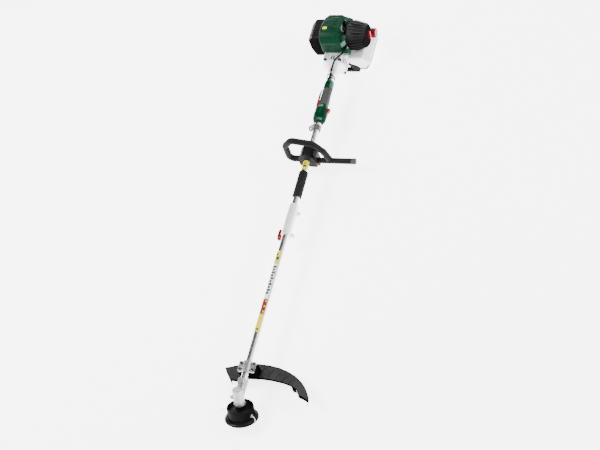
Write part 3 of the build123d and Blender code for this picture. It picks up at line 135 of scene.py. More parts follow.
def finish(
    name, colour, rough, metal=0.0, vary=0.12, grain=900, grain_depth=0.00005, blotch=25, wear_and_glint=0.0, coat=0.0,
    cells=0, stretch=None, through=0.0, soft=0.0, specular=0.5, wall_shade=0.0,
):
    """A moulded, cast or machined surface: mottled colour, uneven gloss, grain, and lighter edges, which are wear
    and, on the ribbed shrouds, a painted glint.

    With a wall shade, its upright faces get a painted shade: that share of the colour and no gloss.
    """
    n = Nodes(name)
    mottle = n.noise(blotch, 5.0)
    base = n.mix(n.spread(mottle, 0.0, 1.0), shade(colour, 1 - vary), shade(colour, 1 + vary))
    # lighter edges: wear, and on the ribbed shrouds a painted glint on the rib edges
    if wear_and_glint:
        wear_and_glint_mask = n.add("ShaderNodeMath", Value=n.edges())
        wear_and_glint_mask.operation = "MULTIPLY"
        n.put(wear_and_glint_mask.inputs[1], n.spread(n.noise(220, 6.0), 0.0, wear_and_glint))
        worn_and_glint = [min(1.0, channel * WEAR_GLINT_GAIN + WEAR_GLINT_LIFT) for channel in colour]
        base = n.mix(wear_and_glint_mask.outputs[0], base, shade(worn_and_glint, 1))
    n.shader.inputs["Specular IOR Level"].default_value = specular
    # painted shade: upright faces take a darker share of the colour and no gloss
    if wall_shade:
        upright = n.add("ShaderNodeSeparateXYZ", Vector=n.tree.nodes.new("ShaderNodeTexCoord").outputs["Normal"])
        facing_up = n.spread(upright.outputs["Z"], 0.0, 1.0, *WALL_TILT)
        base = n.mix(facing_up, shade(colour, wall_shade), base)
        n.put(n.shader.inputs["Specular IOR Level"], n.spread(upright.outputs["Z"], 0.0, specular, *WALL_TILT))
    n.put(n.shader.inputs["Base Color"], base)
    fine = n.cells(cells) if cells else n.noise(grain, 3.0, 0.6, stretch)
    n.put(n.shader.inputs["Roughness"], n.spread(n.noise(blotch * 3, 4.0), max(0.02, rough - 0.06), rough + 0.08))
    n.put(n.shader.inputs["Normal"], n.bump(fine, 0.6, grain_depth))
    n.shader.inputs["Metallic"].default_value = metal
    n.shader.inputs["Coat Weight"].default_value = coat
    n.shader.inputs["Coat Roughness"].default_value = 0.08
    n.shader.inputs["Transmission Weight"].default_value = through
    n.shader.inputs["Subsurface Weight"].default_value = soft
    n.shader.inputs["Subsurface Radius"].default_value = (0.01, 0.01, 0.01)
    n.shader.inputs["Subsurface Scale"].default_value = 1.0
    return n.material


CAST = finish("cast_aluminium", (0.76, 0.77, 0.78), 0.36, metal=0.6, vary=0.06, grain=1400, grain_depth=0.00012)
GEAR_CAST = finish(
    "tumbled_aluminium", (0.30, 0.305, 0.31), 0.30, metal=0.9, vary=0.12, grain=1400, grain_depth=0.00015,
)
DARK_STEEL = finish("dull_steel", (0.10, 0.10, 0.105), 0.32, metal=0.9, vary=0.1, grain=1200, grain_depth=0.00003)
TUBE = finish(
    "bright_tube", (0.86, 0.87, 0.88), 0.16, metal=1.0, vary=0.03, grain=260, grain_depth=0.00002,
    stretch=(0.05, 1.0, 1.0),
)
FIN = finish("rough_cast", (0.05, 0.05, 0.052), 0.5, metal=0.6, vary=0.12, grain=900, grain_depth=0.0002)
STEEL = finish("machined_steel", (0.5, 0.5, 0.52), 0.28, metal=1.0, vary=0.05, grain=2200, grain_depth=0.00002)
ZINC = finish("zinc_plate", (0.70, 0.70, 0.72), 0.25, metal=1.0, vary=0.08, grain=900, grain_depth=0.00002)
OXIDE = finish("black_oxide", (0.05, 0.05, 0.052), 0.35, metal=0.9, vary=0.2, grain=1200, wear_and_glint=0.5)
BLACK = finish(
    "black_moulding", (0.0028, 0.0028, 0.003), 0.34, vary=0.2, grain=1500, grain_depth=0.00012, wear_and_glint=0.25,
    specular=0.04,
)
# painted shade on the head's upright faces
HEAD = finish(
    "black_nylon", (0.005, 0.005, 0.0051), 0.28, vary=0.2, grain=700, grain_depth=0.00008, specular=0.06, wall_shade=0.8,
)
# strong painted shade on the guard's upright faces
GUARD = finish(
    "guard_plastic", (0.022, 0.022, 0.0226), 0.34, vary=0.25, grain=1100, grain_depth=0.0002, blotch=12,
    specular=0.03, wall_shade=0.08,
)
GREEN = finish(
    "green_gloss", (0.0001, 0.019, 0.0075), 0.24, vary=0.14, grain=320, grain_depth=0.00003, blotch=9, wear_and_glint=0.15,
    specular=0.03,
)
# lighter green: panels on the engine cover, and painted highlights on the grip and the collar's front
GREEN_LIGHT = finish("green_panel_and_highlight", (0.02, 0.085, 0.05), 0.25, specular=0.2, vary=0.12, grain=320, blotch=14)
RED = finish(
    "red_gloss", (0.16, 0.001, 0.005), 0.26, vary=0.12, grain=500, grain_depth=0.00003, wear_and_glint=0.15, specular=0.15,
)
RUBBER = finish(
    "black_rubber", (0.007, 0.007, 0.0072), 0.40, vary=0.2, grain=1800, grain_depth=0.0001, blotch=40,
    specular=0.05,
)
# its lighter rib edges are partly a painted glint
# painted shade on the filter cover's upright faces
SHROUD = finish(
    "ribbed_shroud", (0.012, 0.012, 0.0123), 0.32, vary=0.2, grain=1500, grain_depth=0.0001, wear_and_glint=0.5,
    specular=0.04, wall_shade=0.4,
)
# its lighter rib edges are partly a painted glint
# painted shade on the muffler cover's upright faces
DEEP = finish(
    "muffler_shroud", (0.008, 0.008, 0.0082), 0.32, vary=0.2, grain=1500, wear_and_glint=0.5, specular=0.03, wall_shade=0.6,
)
# grey of the tank's seam, which is partly a painted shade along the tank's outline
SEAM_SHADE = finish("tank_seam_shade", (0.045, 0.048, 0.046), 0.4, vary=0.08, grain=600, specular=0.03)
GRIP = finish("grey_grip", (0.035, 0.035, 0.037), 0.5, vary=0.15, grain=1600, grain_depth=0.00015, specular=0.15)
FOAM = finish("foam", (0.004, 0.004, 0.0042), 0.8, vary=0.35, cells=900, grain_depth=0.0004, specular=0.15)
TANK = finish(
    "translucent_tank", (0.95, 0.955, 0.945), 0.32, vary=0.03, grain=400, grain_depth=0.00006, blotch=8, soft=0.6,
)
LINE = finish("nylon_line", (0.62, 0.63, 0.60), 0.3, vary=0.05, grain=900, soft=0.3)
BULB = finish("primer_bulb", (0.72, 0.68, 0.55), 0.12, vary=0.05, grain=400, through=0.6)
YELLOW = finish("label_yellow", (0.56, 0.48, 0.0), 0.35, vary=0.05, grain=600, specular=0.02)
LABEL_RED = finish("label_red", (0.22, 0.003, 0.001), 0.35, vary=0.05, grain=600, specular=0.08)
LABEL_WHITE = finish("label_white", (0.80, 0.80, 0.80), 0.32, vary=0.03, grain=600, coat=0.3)
# black for the labels' print, and for the painted shade in the clutch casting's vents
INK_AND_VENT_SHADE = finish("label_ink_and_vent_shade", (0.02, 0.02, 0.02), 0.4, vary=0.1, grain=600)

FINISHES = {
    CAST: ["clutch_housing", "crankcase", "coupler_housing"],
    GEAR_CAST: ["gear_housing", "guard_bracket"],
    DARK_STEEL: ["harness_eye", "line_eyelets"],
    TUBE: ["lower_tube", "upper_tube"],
    FIN: ["cylinder", "piston_and_rod", "carburettor", "flywheel", "muffler"],
    STEEL: [
        "output_spindle", "bevel_gear", "bevel_pinion", "lower_drive_shaft", "upper_drive_shaft", "ball_bearings",
        "clutch_drum", "clutch_shoes", "crankshaft", "coupler_lock_pin",
    ],
    ZINC: ["line_cutter", "spool_spring", "spark_plug"],
    OXIDE: ["socket_bolts"],
    HEAD: ["head_housing", "head_base_cover", "bump_knob", "line_spool"],
    GUARD: ["guard"],
    BLACK: [
        "starter_housing", "starter_pulley", "starter_handle", "engine_stand",
        "handle_clamp_base", "handle_clamp_top", "shaft_bushes", "throttle_trigger",
    ],
    DEEP: ["muffler_cover"],
    SHROUD: ["filter_cover"],
    GREEN: ["top_cover", "control_housing_left", "control_housing_right"],
    GRIP: ["grip_sleeve"],
    RUBBER: ["loop_handle", "barrier_bar", "throttle_cable"],
    FOAM: ["foam_sleeve"],
    RED: ["throttle_lock", "stop_switch", "coupler_knob", "handle_knob", "choke_lever", "fuel_cap"],
    TANK: ["fuel_tank"],
    BULB: ["primer_bulb"],
    LINE: ["trimmer_line"],
}
for material, names in FINISHES.items():
    for name in names:
        for slot in NODES[name].material_slots:
            slot.material = material


# ---------------------------------------------------------------- mesh helpers
def piece(name, mesh, material, body):
    """A new object on a CAD body, with the finish it is given."""
    made = bpy.data.objects.new(name, mesh)
    bpy.context.scene.collection.objects.link(made)
    mesh.materials.clear()
    mesh.materials.append(material)
    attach(made, body)
    return made


def smooth(mesh, angle=35):
    """Smooth shading, kept sharp where faces meet at more than an angle in degrees."""
    mesh.shade_smooth()
    mesh.set_sharp_from_angle(angle=radians(angle))
    return mesh


def mesh_from(name, points, faces, angle=35):
    mesh = bpy.data.meshes.new(name)
    mesh.from_pydata([tuple(point) for point in points], [], faces)
    mesh.update()
    return smooth(mesh, angle)


def block(bm, centre, size, rotation):
    """A box in a bmesh, for cutting a groove."""
    rotated = Euler([radians(angle) for angle in rotation]).to_matrix().to_4x4()
    made = bmesh.ops.create_cube(bm, size=1.0)
    bmesh.ops.scale(bm, vec=[side * MM for side in size], verts=made["verts"])
    bmesh.ops.transform(bm, matrix=Matrix.Translation(centre) @ rotated, verts=made["verts"])


def carved(node, blocks, material, bevel):
    """A CAD node's shape with grooves cut into it and its edges rounded to a width in metres."""
    copy = NODES[node].data.copy()
    bm = bmesh.new()
    bm.from_mesh(copy)
    bmesh.ops.remove_doubles(bm, verts=bm.verts, dist=1e-6)
    bm.to_mesh(copy)
    bm.free()
    made = piece(node + "_shell", copy, material, "frame")
    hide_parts(node)
    cutter_mesh = bpy.data.meshes.new(node + "_cuts")
    bm = bmesh.new()
    for centre, size, rotation in blocks:
        block(bm, centre, size, rotation)
    bm.to_mesh(cutter_mesh)
    bm.free()
    cutter = bpy.data.objects.new(node + "_cuts", cutter_mesh)
    bpy.context.scene.collection.objects.link(cutter)
    modifier = made.modifiers.new("cut", "BOOLEAN")
    modifier.operation = "DIFFERENCE"
    modifier.solver = "EXACT"
    modifier.use_self = True
    modifier.object = cutter
    rounding = made.modifiers.new("round", "BEVEL")
    rounding.width = bevel
    rounding.segments = 2
    rounding.limit_method = "ANGLE"
    rounding.angle_limit = radians(40)
    bpy.context.view_layer.update()
    shaped = bpy.data.meshes.new_from_object(made.evaluated_get(bpy.context.evaluated_depsgraph_get()))
    made.modifiers.clear()
    made.data = smooth(shaped, 30)
    bpy.data.objects.remove(cutter)
    return made


def smooth_curve(name, points, resolution):
    """Curve data that bends smoothly through a route of control points."""
    data = bpy.data.curves.new(name, "CURVE")
    data.dimensions = "3D"
    data.resolution_u = resolution
    spline = data.splines.new("NURBS")
    spline.points.add(len(points) - 1)
    for control, point in zip(spline.points, points):
        control.co = (*point, 1)
    spline.order_u = 3
    spline.use_endpoint_u = True
    return data


def nurbs(name, points, radius, material, body):
    """A smooth cord along a route."""
    data = smooth_curve(name, points, 16)
    data.bevel_depth = radius
    data.bevel_resolution = 4
    data.use_fill_caps = True
    made = bpy.data.objects.new(name, data)
    bpy.context.scene.collection.objects.link(made)
    data.materials.append(material)
    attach(made, body)
    return made


def route_points(points, step):
    """Evenly spaced points and directions along a route's smooth curve."""
    holder = bpy.data.objects.new("route", smooth_curve("route", points, 24))
    mesh = bpy.data.meshes.new_from_object(holder)
    line = [vertex.co.copy() for vertex in mesh.vertices]
    bpy.data.objects.remove(holder)
    places = []
    travelled = 0.0
    wanted = 0.0
    for a, b in zip(line, line[1:]):
        run = (b - a).length
        while run and wanted <= travelled + run:
            places.append((a.lerp(b, (wanted - travelled) / run), (b - a).normalized()))
            wanted += step
        travelled += run
    return places


def rings(name, places, radii, sides=20, angle=60):
    """A closed skin over rings: each place is a centre and a direction, and each ring has its own radius."""
    points = []
    faces = []
    side = places[0][1].orthogonal().normalized()
    for (place, along), radius in zip(places, radii):
        side = (side - along * side.dot(along)).normalized()
        other = along.cross(side)
        for k in range(sides):
            points.append(place + (side * cos(tau * k / sides) + other * sin(tau * k / sides)) * radius)
    for ring in range(len(places) - 1):
        for k in range(sides):
            a = ring * sides + k
            b = ring * sides + (k + 1) % sides
            faces.append((a, b, b + sides, a + sides))
    faces.append(tuple(reversed(range(sides))))
    faces.append(tuple(range((len(places) - 1) * sides, len(places) * sides)))
    return mesh_from(name, points, faces, angle)


def slab(name, corners, lift, material):
    """A thin flat panel: its back's four corners, anticlockwise from the front, and the step to its front."""
    points = corners + [corner + lift for corner in corners]
    faces = [(3, 2, 1, 0), (4, 5, 6, 7), (0, 1, 5, 4), (1, 2, 6, 5), (2, 3, 7, 6), (3, 0, 4, 7)]
    return piece(name, mesh_from(name, points, faces), material, "frame")


def turned(name, profile, centre=(0, 0), sides=48, angle=35):
    """A ring of material round the boom's direction: the profile is (station, radius) pairs in mm."""
    count = len(profile)
    points = []
    faces = []
    for k in range(sides):
        swing = tau * k / sides
        for station, radius in profile:
            points.append(at(station, centre[0] + radius * cos(swing), centre[1] + radius * sin(swing)))
    for k in range(sides):
        here = k * count
        there = (k + 1) % sides * count
        for j in range(count):
            following = (j + 1) % count
            faces.append((here + j, here + following, there + following, there + j))
    return mesh_from(name, points, faces, angle)


PATCH_STEP = 5  # degrees between the points of a curved patch


def patches(name, places, radii, material, thick=0.05):
    """Thin curved patches round the boom's axis, each from one station and angle to another.

    The two radii are those at the first and the last station, and a patch goes this thick in and out from them.
    """
    points = []
    faces = []
    for start, end, low, high in places:
        steps = 2 + int((high - low) / PATCH_STEP)
        first = len(points)
        for k in range(steps + 1):
            swing = radians(low + (high - low) * k / steps)
            for station, radius in zip((start, end), radii):
                for depth in (thick, -thick):
                    points.append(at(station, (radius + depth) * cos(swing), (radius + depth) * sin(swing)))
        for k in range(steps):
            a = first + 4 * k
            faces += [(a, a + 2, a + 6, a + 4), (a + 1, a + 5, a + 7, a + 3)]
            faces += [(a, a + 4, a + 5, a + 1), (a + 2, a + 3, a + 7, a + 6)]
        last = first + 4 * steps
        faces += [(first, first + 1, first + 3, first + 2), (last, last + 2, last + 3, last + 1)]
    return piece(name, mesh_from(name, points, faces), material, "frame")


RIB_ROOT = 0.4  # how far a rib's foot is sunk into its surface, in mm
RIB_TAPER = 0.6


def raised(name, lines, half_width, height, material):
    """Low raised ribs along lines, each line a list of (point, outward direction)."""
    points = []
    faces = []
    for line in lines:
        first = len(points)
        for k, (point, outward) in enumerate(line):
            along = line[min(k + 1, len(line) - 1)][0] - line[max(k - 1, 0)][0]
            side = along.cross(outward).normalized() * half_width * MM
            lift = outward.normalized() * height * MM
            sunk = outward.normalized() * -RIB_ROOT * MM
            crest = side * RIB_TAPER
            points += [point + sunk - side, point + lift - crest, point + lift + crest, point + sunk + side]
        for k in range(len(line) - 1):
            a = first + 4 * k
            for j in range(4):
                b = (j + 1) % 4
                faces.append((a + j, a + b, a + 4 + b, a + 4 + j))
        last = first + 4 * (len(line) - 1)
        faces += [(first + 3, first + 2, first + 1, first), (last, last + 1, last + 2, last + 3)]
    return piece(name, mesh_from(name, points, faces, 50), material, "frame")


# ---------------------------------------------------------------- grooves of the engine covers
roof = [(at(1556 + 7.5 * k, 0, 148), (2.2, 44 if k < 4 else 30, 3.6), (0, 0, 0)) for k in range(3)]
roof += [(at(1584 + 7.5 * k, 0, 147 - 1.79 * k), (2.2, 46, 3.6), (0, 13, 0)) for k in range(9)]
front = [(at(1523.5, 0, 70 + 7.5 * k), (3, 50, 2.2), (0, 0, 0)) for k in range(5)]
carved("top_cover", roof + front, GREEN, bevel=0.0012)

ribs = [(at(1572 + 9 * k, 68, 103), (4.5, 44, 4), (0, 0, 0)) for k in range(10)]
ribs += [(at(1572 + 9 * k, 99, 92), (4.5, 30, 4), (-45, 0, 0)) for k in range(9)]
ribs += [(at(1558, 74, 12 + 9 * k), (10, 66, 4.5), (0, 0, 0)) for k in range(9)]
carved("muffler_cover", ribs, DEEP, bevel=0.001)

# ---------------------------------------------------------------- air filter's ribs
FILTER_X = 1612
FILTER_Z = 62
FILTER_LINE = [(61, -63), (61, -84), (54.5, -106), (49.5, -123)]


def filter_rib(degrees):
    swing = radians(degrees)
    outward = Vector((cos(swing), -0.25, sin(swing)))
    return [
        (at(FILTER_X + radius * cos(swing), y, FILTER_Z + radius * sin(swing)), outward) for radius, y in FILTER_LINE
    ]


raised("filter_ribs", [filter_rib(70 + 13 * k) for k in range(11)], 2.2, 3.0, SHROUD)
raised("filter_lower_ribs", [filter_rib(235 + 14 * k) for k in range(5)], 1.6, 1.6, SHROUD)

# ---------------------------------------------------------------- filter element inside the ribbed cover
ELEMENT = [(-71, 55), (-72, 57), (-84, 57), (-115, 47.5), (-116, 45)]
element_places = [(at(FILTER_X, y, FILTER_Z), Vector((0, -1, 0))) for y, radius in ELEMENT]
element_radii = [radius * MM for y, radius in ELEMENT]
piece("filter_element", rings("filter_element", element_places, element_radii, 64, 35), FOAM, "frame")

# ---------------------------------------------------------------- black plate in the recess between the cylinder and the filter, a dark sheet standing in for the recess's shade
PLATE_LINE = [
    (1624, 42), (1668, 42), (1674, 46), (1676, 54), (1676, 92), (1668, 108), (1652, 121), (1646, 122.9),
    (1622, 122.9), (1618, 119), (1618, 80), (1629, 76), (1629, 50), (1620, 46),
]
PLATE_Y = -46
PLATE_THICK = 3
# painted shade: this black sheet fills the recess so that it reads dark
bm = bmesh.new()
face = bm.faces.new([bm.verts.new(at(x, PLATE_Y, z)) for x, z in PLATE_LINE])
extruded = bmesh.ops.extrude_face_region(bm, geom=[face])["geom"]
moved = [vertex for vertex in extruded if isinstance(vertex, bmesh.types.BMVert)]
bmesh.ops.translate(bm, vec=(0, -PLATE_THICK * MM, 0), verts=moved)
bmesh.ops.recalc_face_normals(bm, faces=bm.faces)
bmesh.ops.bevel(bm, geom=bm.edges[:], offset=0.0008, segments=2, affect="EDGES")
shade_plate = bpy.data.meshes.new("recess_shade_plate")
bm.to_mesh(shade_plate)
bm.free()
piece("recess_shade_plate", smooth(shade_plate, 30), BLACK, "frame")
PLATE_OUT = Vector((0, -1, 0))
plate_face = PLATE_Y - PLATE_THICK
plate_ribs = [[(at(1634 + 9 * k, plate_face, z), PLATE_OUT) for z in (54, 104)] for k in range(4)]
raised("recess_shade_plate_ribs", plate_ribs, 1.2, 1.6, BLACK)

# ---------------------------------------------------------------- ignition plug's rubber boot
PLUG_BASE = at(1612, -9, 92)
PLUG_UP = Vector((0, -sin(radians(40)), cos(radians(40))))
LEAD = [(-0.003, -0.001, 0.003), (-0.008, -0.001, 0.004), (-0.016, 0, 0.002)]
boot_route = [PLUG_BASE + PLUG_UP * (0.012 + 0.003 * k) for k in range(7)]
boot_top = boot_route[-1]
boot_route += [boot_top + Vector(step) for step in LEAD]
boot_end = len(boot_route) - 1
boot_places = [
    (point, (boot_route[min(k + 1, boot_end)] - boot_route[max(k - 1, 0)]).normalized())
    for k, point in enumerate(boot_route)
]
boot_radii = [0.0092, 0.0096, 0.0088, 0.0092, 0.0084, 0.0082, 0.0078, 0.0074, 0.0058, 0.0046]
piece("plug_boot", rings("plug_boot", boot_places, boot_radii, 24), RUBBER, "frame")

# ---------------------------------------------------------------- tank's moulding seam, a grey line that is partly a painted shade along the tank's outline
SIDE_OUT = Vector((0, -0.911, -0.412))
FRONT_OUT = Vector((-0.838, 0, -0.546))
TANK_SEAM_SHADE = [
    ((1690, -129.1, -44.9), 0), ((1640, -129.1, -44.9), 0), ((1590, -129.1, -44.9), 0), ((1562, -129, -45), 0),
    ((1554.5, -127, -47), 0.35), ((1551, -121, -55), 0.7), ((1549.6, -112, -67), 0.9), ((1549.3, -105, -70.4), 1),
    ((1549.3, -84, -70.4), 1), ((1549.6, -77, -62), 1),
]
seam_shade_line = [(at(*spot), SIDE_OUT.lerp(FRONT_OUT, share)) for spot, share in TANK_SEAM_SHADE]
raised("tank_seam_shade", [seam_shade_line], 3.2, 2.6, SEAM_SHADE)

# ---------------------------------------------------------------- tie that holds the cable to the boom
TIE_X = 1436
TIE_STEPS = 40
tie_swings = [tau * k / TIE_STEPS for k in range(TIE_STEPS + 1)]
tie_points = [at(TIE_X, 15.5 * cos(swing), 5 + 20.5 * sin(swing)) for swing in tie_swings]
tie_places = [
    (point, (tie_points[(k + 1) % TIE_STEPS] - tie_points[(k - 1) % TIE_STEPS]).normalized())
    for k, point in enumerate(tie_points)
]
tie_radii = [0.002] * len(tie_points)
piece("cable_tie", rings("cable_tie", tie_places, tie_radii, 12), RUBBER, "frame")

# ---------------------------------------------------------------- soft sleeve on the boom
FOAM_START = 848
FOAM_END = 966
foam_profile = [(FOAM_START, 13.2), (FOAM_START, 16.4), (FOAM_START + 1.5, 17.6)]
foam_profile += [(FOAM_START + 4 + 3.7 * k, 17.9 + 0.12 * sin(2.1 * k) * sin(0.7 * k)) for k in range(30)]
foam_profile += [(FOAM_END - 1.5, 17.6), (FOAM_END, 16.4), (FOAM_END, 13.2)]
foam = piece("foam_grip", turned("foam_grip", foam_profile, sides=64, angle=60), FOAM, "frame")
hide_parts("foam_sleeve")

# ---------------------------------------------------------------- ribs on the guard's top
SLOPE = radians(14)


def guard_point(x, y, z=0.0):
    """A point on the guard's top, x away from the head and y to the left."""
    return at(94 + x * cos(SLOPE) + z * sin(SLOPE), y, -45.3 - x * sin(SLOPE) + z * cos(SLOPE))


GUARD_UP = Vector((sin(SLOPE), 0, cos(SLOPE)))
fan_ribs = []
for k in range(5):
    swing = radians(4 + 9 * k)
    inner = Vector((16 - 1.2 * k * k, -40 - 27 * k))
    outer = inner + Vector((cos(swing), -sin(swing))) * (44 - 4 * k)
    bow = Vector((sin(swing), cos(swing))) * 5
    line = []
    for j in range(9):
        share = j / 8
        spot = inner.lerp(outer, share) + bow * (1 - (2 * share - 1) ** 2)
        line.append((guard_point(spot.x, spot.y), GUARD_UP))
    fan_ribs.append(line)
GUARD_RIM = [(58, 68), (68, 28), (73, -12), (71, -51), (64, -89), (51.5, -125), (34, -158), (12, -187), (-12, -209)]
fan_ribs.append([(guard_point(x, y), GUARD_UP) for x, y in GUARD_RIM])
raised("guard_ribs", fan_ribs, 1.3, 1.2, GUARD)

# ---------------------------------------------------------------- painted shade in the clutch casting's vents, and its bolt cups
# painted shade: dark patches where the vent slots are, for the shade inside them
patches(
    "clutch_vent_shade", [(1497, 1517, 83, 90), (1497, 1517, 95, 102), (1498, 1516, 148, 156), (1498, 1516, 162, 168)],
    (46.05, 46.05), INK_AND_VENT_SHADE,
)
CUP = [(1499, 4.6), (1499, 7.2), (1500, 7.9), (1501.95, 7.9), (1501.95, 4.6)]
for k, boss in enumerate(BOSS_PLACES):
    cup_name = f"clutch_cup_{k + 1}"
    piece(cup_name, turned(cup_name, CUP, boss, 32), BLACK, "frame")

# ---------------------------------------------------------------- engine cover's label and light panels
label_corners = [at(1568, 13, 147.9), at(1580, 13, 147.9), at(1580, 30, 147.9), at(1568, 30, 147.9)]
slab("cover_label", label_corners, Vector((0, 0, 0.00045)), YELLOW)
apron_front = [at(1526.2, -45, 40.5), at(1526.2, -68.5, 40.5), at(1526.2, -68.5, 52), at(1526.2, -45, 52)]
slab("apron_front_panel", apron_front, Vector((-0.0008, 0, 0)), GREEN_LIGHT)
apron_top = [at(1530, -69, 53.8), at(1546, -69, 53.8), at(1546, -45, 53.8), at(1530, -45, 53.8)]
slab("apron_top_panel", apron_top, Vector((0, 0, 0.0008)), GREEN_LIGHT)
flap = [at(1532, -42.4, 77), at(1549.6, -56, 77), at(1549.6, -56, 101), at(1532, -42.4, 101)]
slab("flap_panel", flap, Vector((-0.0006, -0.0008, 0)), GREEN_LIGHT)


# ---------------------------------------------------------------- throttle cable's corrugated conduit
CABLE_POINTS = [
    (1407, 0, 22), (1440, -1, 20), (1470, -4, 30), (1494, -14, 50), (1512, -42, 60), (1534, -55, 66),
    (1564, -52, 60), (1591.5, -50, 58),
]
cable_places = route_points([at(*point) for point in CABLE_POINTS], 0.001)
cable_radii = [0.004 if k % 4 < 2 else 0.0033 for k in range(len(cable_places))]
conduit = piece(
    "throttle_conduit", rings("throttle_conduit", cable_places, cable_radii), BLACK, "frame"
)
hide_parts("throttle_cable")

# ---------------------------------------------------------------- nylon lines of the cutting head
HEAD_UP = Vector((0.5, 0, sin(radians(60))))
HEAD_BACK = Vector((sin(radians(60)), 0, -0.5))


def head_point(angle, radius, drop):
    """A point round the cutting head's axis, in degrees and mm, below the crossing of its axis and the boom's."""
    swing = radians(angle)
    return at(0) + (HEAD_BACK * (radius * cos(swing)) + Vector((0, radius * sin(swing), 0)) - HEAD_UP * drop) * MM


LINES = {
    "line_right": [(-109, 42, 60), (-109, 58, 60), (-114, 70, 63), (-120, 80, 68)],
    "line_left": [(71, 42, 60), (71, 60, 60), (77, 74, 63), (84, 84, 68)],
}
LINE_D = 0.0024
for name, route in LINES.items():
    points = [head_point(*place) for place in route]
    stub = nurbs(name, points, LINE_D / 2, LINE, "head")
    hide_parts("trimmer_line")

# ---------------------------------------------------------------- stickers on the boom
STICKER_R = TUBE_R + 0.06
ON_BOOM = (STICKER_R, STICKER_R)
ON_STICKER = (STICKER_R + 0.1, STICKER_R + 0.1)
STICKERS = [
    ("label_yellow_low", (255, 329, 20, 128), YELLOW, "red_plastic"),
    ("label_red", (329, 392, 20, 128), LABEL_RED, "red_plastic"),
    ("label_white", (392, 542, 20, 118), LABEL_WHITE, "tube"),
    ("label_yellow_high", (542, 599, 20, 128), YELLOW, "red_plastic"),
    ("label_yellow_handle", (975, 1014, 20, 160), YELLOW, "red_plastic"),
]
for name, place, material, slot in STICKERS:
    patches(name, [place], ON_BOOM, material)
dark = [(334 + 11 * k, 341 + 11 * k, 44 + 12 * (k % 2), 90) for k in range(5)]
dark += [(412 + 12.5 * k, 421.5 + 12.5 * k, 42 + 9 * (k % 3), 104 + 12 * (k % 2)) for k in range(10)]
dark += [(560, 573, 62, 116), (579, 588, 50, 90), (263, 270, 60, 112), (985, 994, 60, 120), (999, 1005, 70, 104)]
patches("label_marks", dark, ON_STICKER, INK_AND_VENT_SHADE)
light = [(335 + 22 * k, 343 + 22 * k, 94, 116) for k in range(3)]
patches("label_light_marks", light, ON_STICKER, YELLOW)

# ---------------------------------------------------------------- patches of the right-hand grip and its collar, partly painted highlights
PANELS = [
    # painted highlight: the lighter green on the grip's lit side, on its end and on the collar's front
    ("grip_lit_side_highlight", (1380, 1402, 118, 196), (19.3, 19.3), GREEN_LIGHT, "green_gloss", 0.3),
    ("grip_end_highlight", (1402.5, 1415, 112, 200), (19.1, 17.3), GREEN_LIGHT, "green_gloss", 0.3),
    ("grip_panel_dark", (1374, 1402, 28, 116), (19.3, 19.3), GREEN, "green_gloss", 0.3),
    ("collar_top_patch", (1271, 1286, 70, 114), (26.4, 22.3), GREEN_LIGHT, "green_gloss", 0.3),
    ("collar_front_highlight", (1211, 1219, 96, 140), (20.7, 24.7), GREEN_LIGHT, "green_gloss", 0.3),
    ("collar_grey_patch", (1223, 1246, 26, 62), (25.6, 27.35), GRIP, "grip_rubber", 0.4),
]
for name, place, radii, material, slot, thick in PANELS:
    patches(name, [place], radii, material, thick)

# ---------------------------------------------------------------- end cap of the barrier bar
BAR_CAP = [(-170, 11.6), (-170.4, 12.0), (-185, 12.0), (-187.5, 10.8), (-188.5, 8)]
cap_places = [(at(HANDLE_X, y, -23), Vector((0, -1, 0))) for y, radius in BAR_CAP]
cap_radii = [radius * MM for y, radius in BAR_CAP]
piece("bar_cap", rings("bar_cap", cap_places, cap_radii, 40, 50), GRIP, "frame")

# ---------------------------------------------------------------- floor, light and backdrop
FLOOR_HALF = 30
FLOOR_GLOW = 4.0
floor_mesh = bpy.data.meshes.new("floor")
floor_corners = [(x * FLOOR_HALF, y * FLOOR_HALF, 0) for x, y in ((-1, -1), (1, -1), (1, 1), (-1, 1))]
floor_mesh.from_pydata(floor_corners, [], [(0, 1, 2, 3)])
floor = bpy.data.objects.new("floor", floor_mesh)
bpy.context.scene.collection.objects.link(floor)
floor_look = Nodes("floor")
floor_look.put(
    floor_look.shader.inputs["Base Color"],
    floor_look.mix(floor_look.noise(2.0), (0.90, 0.90, 0.90, 1), (0.93, 0.93, 0.93, 1)),
)
floor_look.shader.inputs["Roughness"].default_value = 0.9
floor_look.shader.inputs["Specular IOR Level"].default_value = 0.0
floor_look.shader.inputs["Emission Color"].default_value = (1, 1, 1, 1)
floor_look.shader.inputs["Emission Strength"].default_value = FLOOR_GLOW
floor_mesh.materials.append(floor_look.material)


LIGHT_SIZE = 1.6


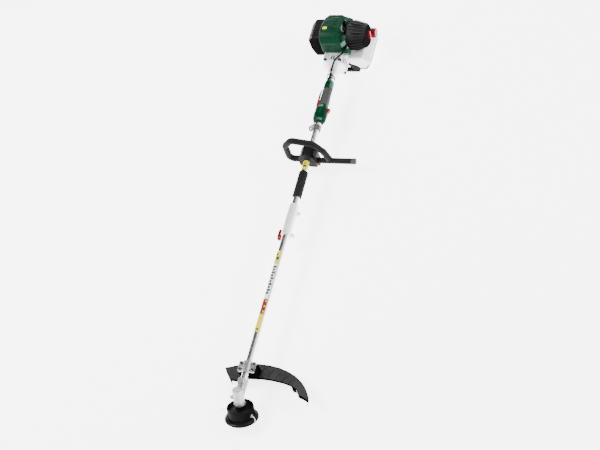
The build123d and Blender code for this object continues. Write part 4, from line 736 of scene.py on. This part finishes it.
def area_light(name, place, target, power):
    """A square soft light, aimed at a target."""
    data = bpy.data.lights.new(name, "AREA")
    data.size = LIGHT_SIZE
    data.energy = power
    light = bpy.data.objects.new(name, data)
    bpy.context.scene.collection.objects.link(light)
    light.location = place
    light.rotation_euler = (Vector(place) - Vector(target)).to_track_quat("Z", "Y").to_euler()


area_light("key", (-1.6, 2.6, 4.2), (-0.6, 0, 0.1), 340)
area_light("fill", (-0.6, -3.6, 3.0), (-0.6, 0, 0.1), 170)
area_light("back", (3.4, 0.4, 3.0), (-0.2, 0, 0.1), 160)
world = bpy.data.worlds.new("studio")
world.use_nodes = True
sky = world.node_tree.nodes
sky_links = world.node_tree.links
sky_way = sky.new("ShaderNodeSeparateXYZ")
sky_links.new(sky.new("ShaderNodeTexCoord").outputs["Generated"], sky_way.inputs[0])


def sky_math(operation, first, second):
    """A sum, product or other step between two values of the sky."""
    node = sky.new("ShaderNodeMath")
    node.operation = operation
    for socket, value in zip(node.inputs, (first, second)):
        if isinstance(value, bpy.types.NodeSocket):
            sky_links.new(value, socket)
        else:
            socket.default_value = value
    return node.outputs[0]


def sky_share(value, start, end):
    """How far a value has gone from start to end, from 0 to 1."""
    share = sky_math("DIVIDE", sky_math("SUBTRACT", value, start), end - start)
    return sky_math("MINIMUM", sky_math("MAXIMUM", share, 0.0), 1.0)


# a dark band across the pale sky, which the bright boom mirrors as its dark stripe
BAND_X = 0.505  # the band's middle, as the X part of the direction
BAND_FADE_X = (0.27, 0.18)  # distance from the middle at which the band starts, and at which it is full
BAND_FADE_Y = (-0.55, -0.2)  # Y part of the direction at which the band starts, and at which it is full
SKY_GLOW = 1.3
BAND_LOSS = 1.22
off_middle = sky_math("ABSOLUTE", sky_math("SUBTRACT", sky_way.outputs["X"], BAND_X), 0.0)
band = sky_math("MULTIPLY", sky_share(sky_way.outputs["Y"], *BAND_FADE_Y), sky_share(off_middle, *BAND_FADE_X))
sky_glow = sky_math("SUBTRACT", SKY_GLOW, sky_math("MULTIPLY", band, BAND_LOSS))
sky_links.new(sky_glow, sky["Background"].inputs["Strength"])
sky["Background"].inputs["Color"].default_value = (1, 1, 1, 1)
bpy.context.scene.world = world
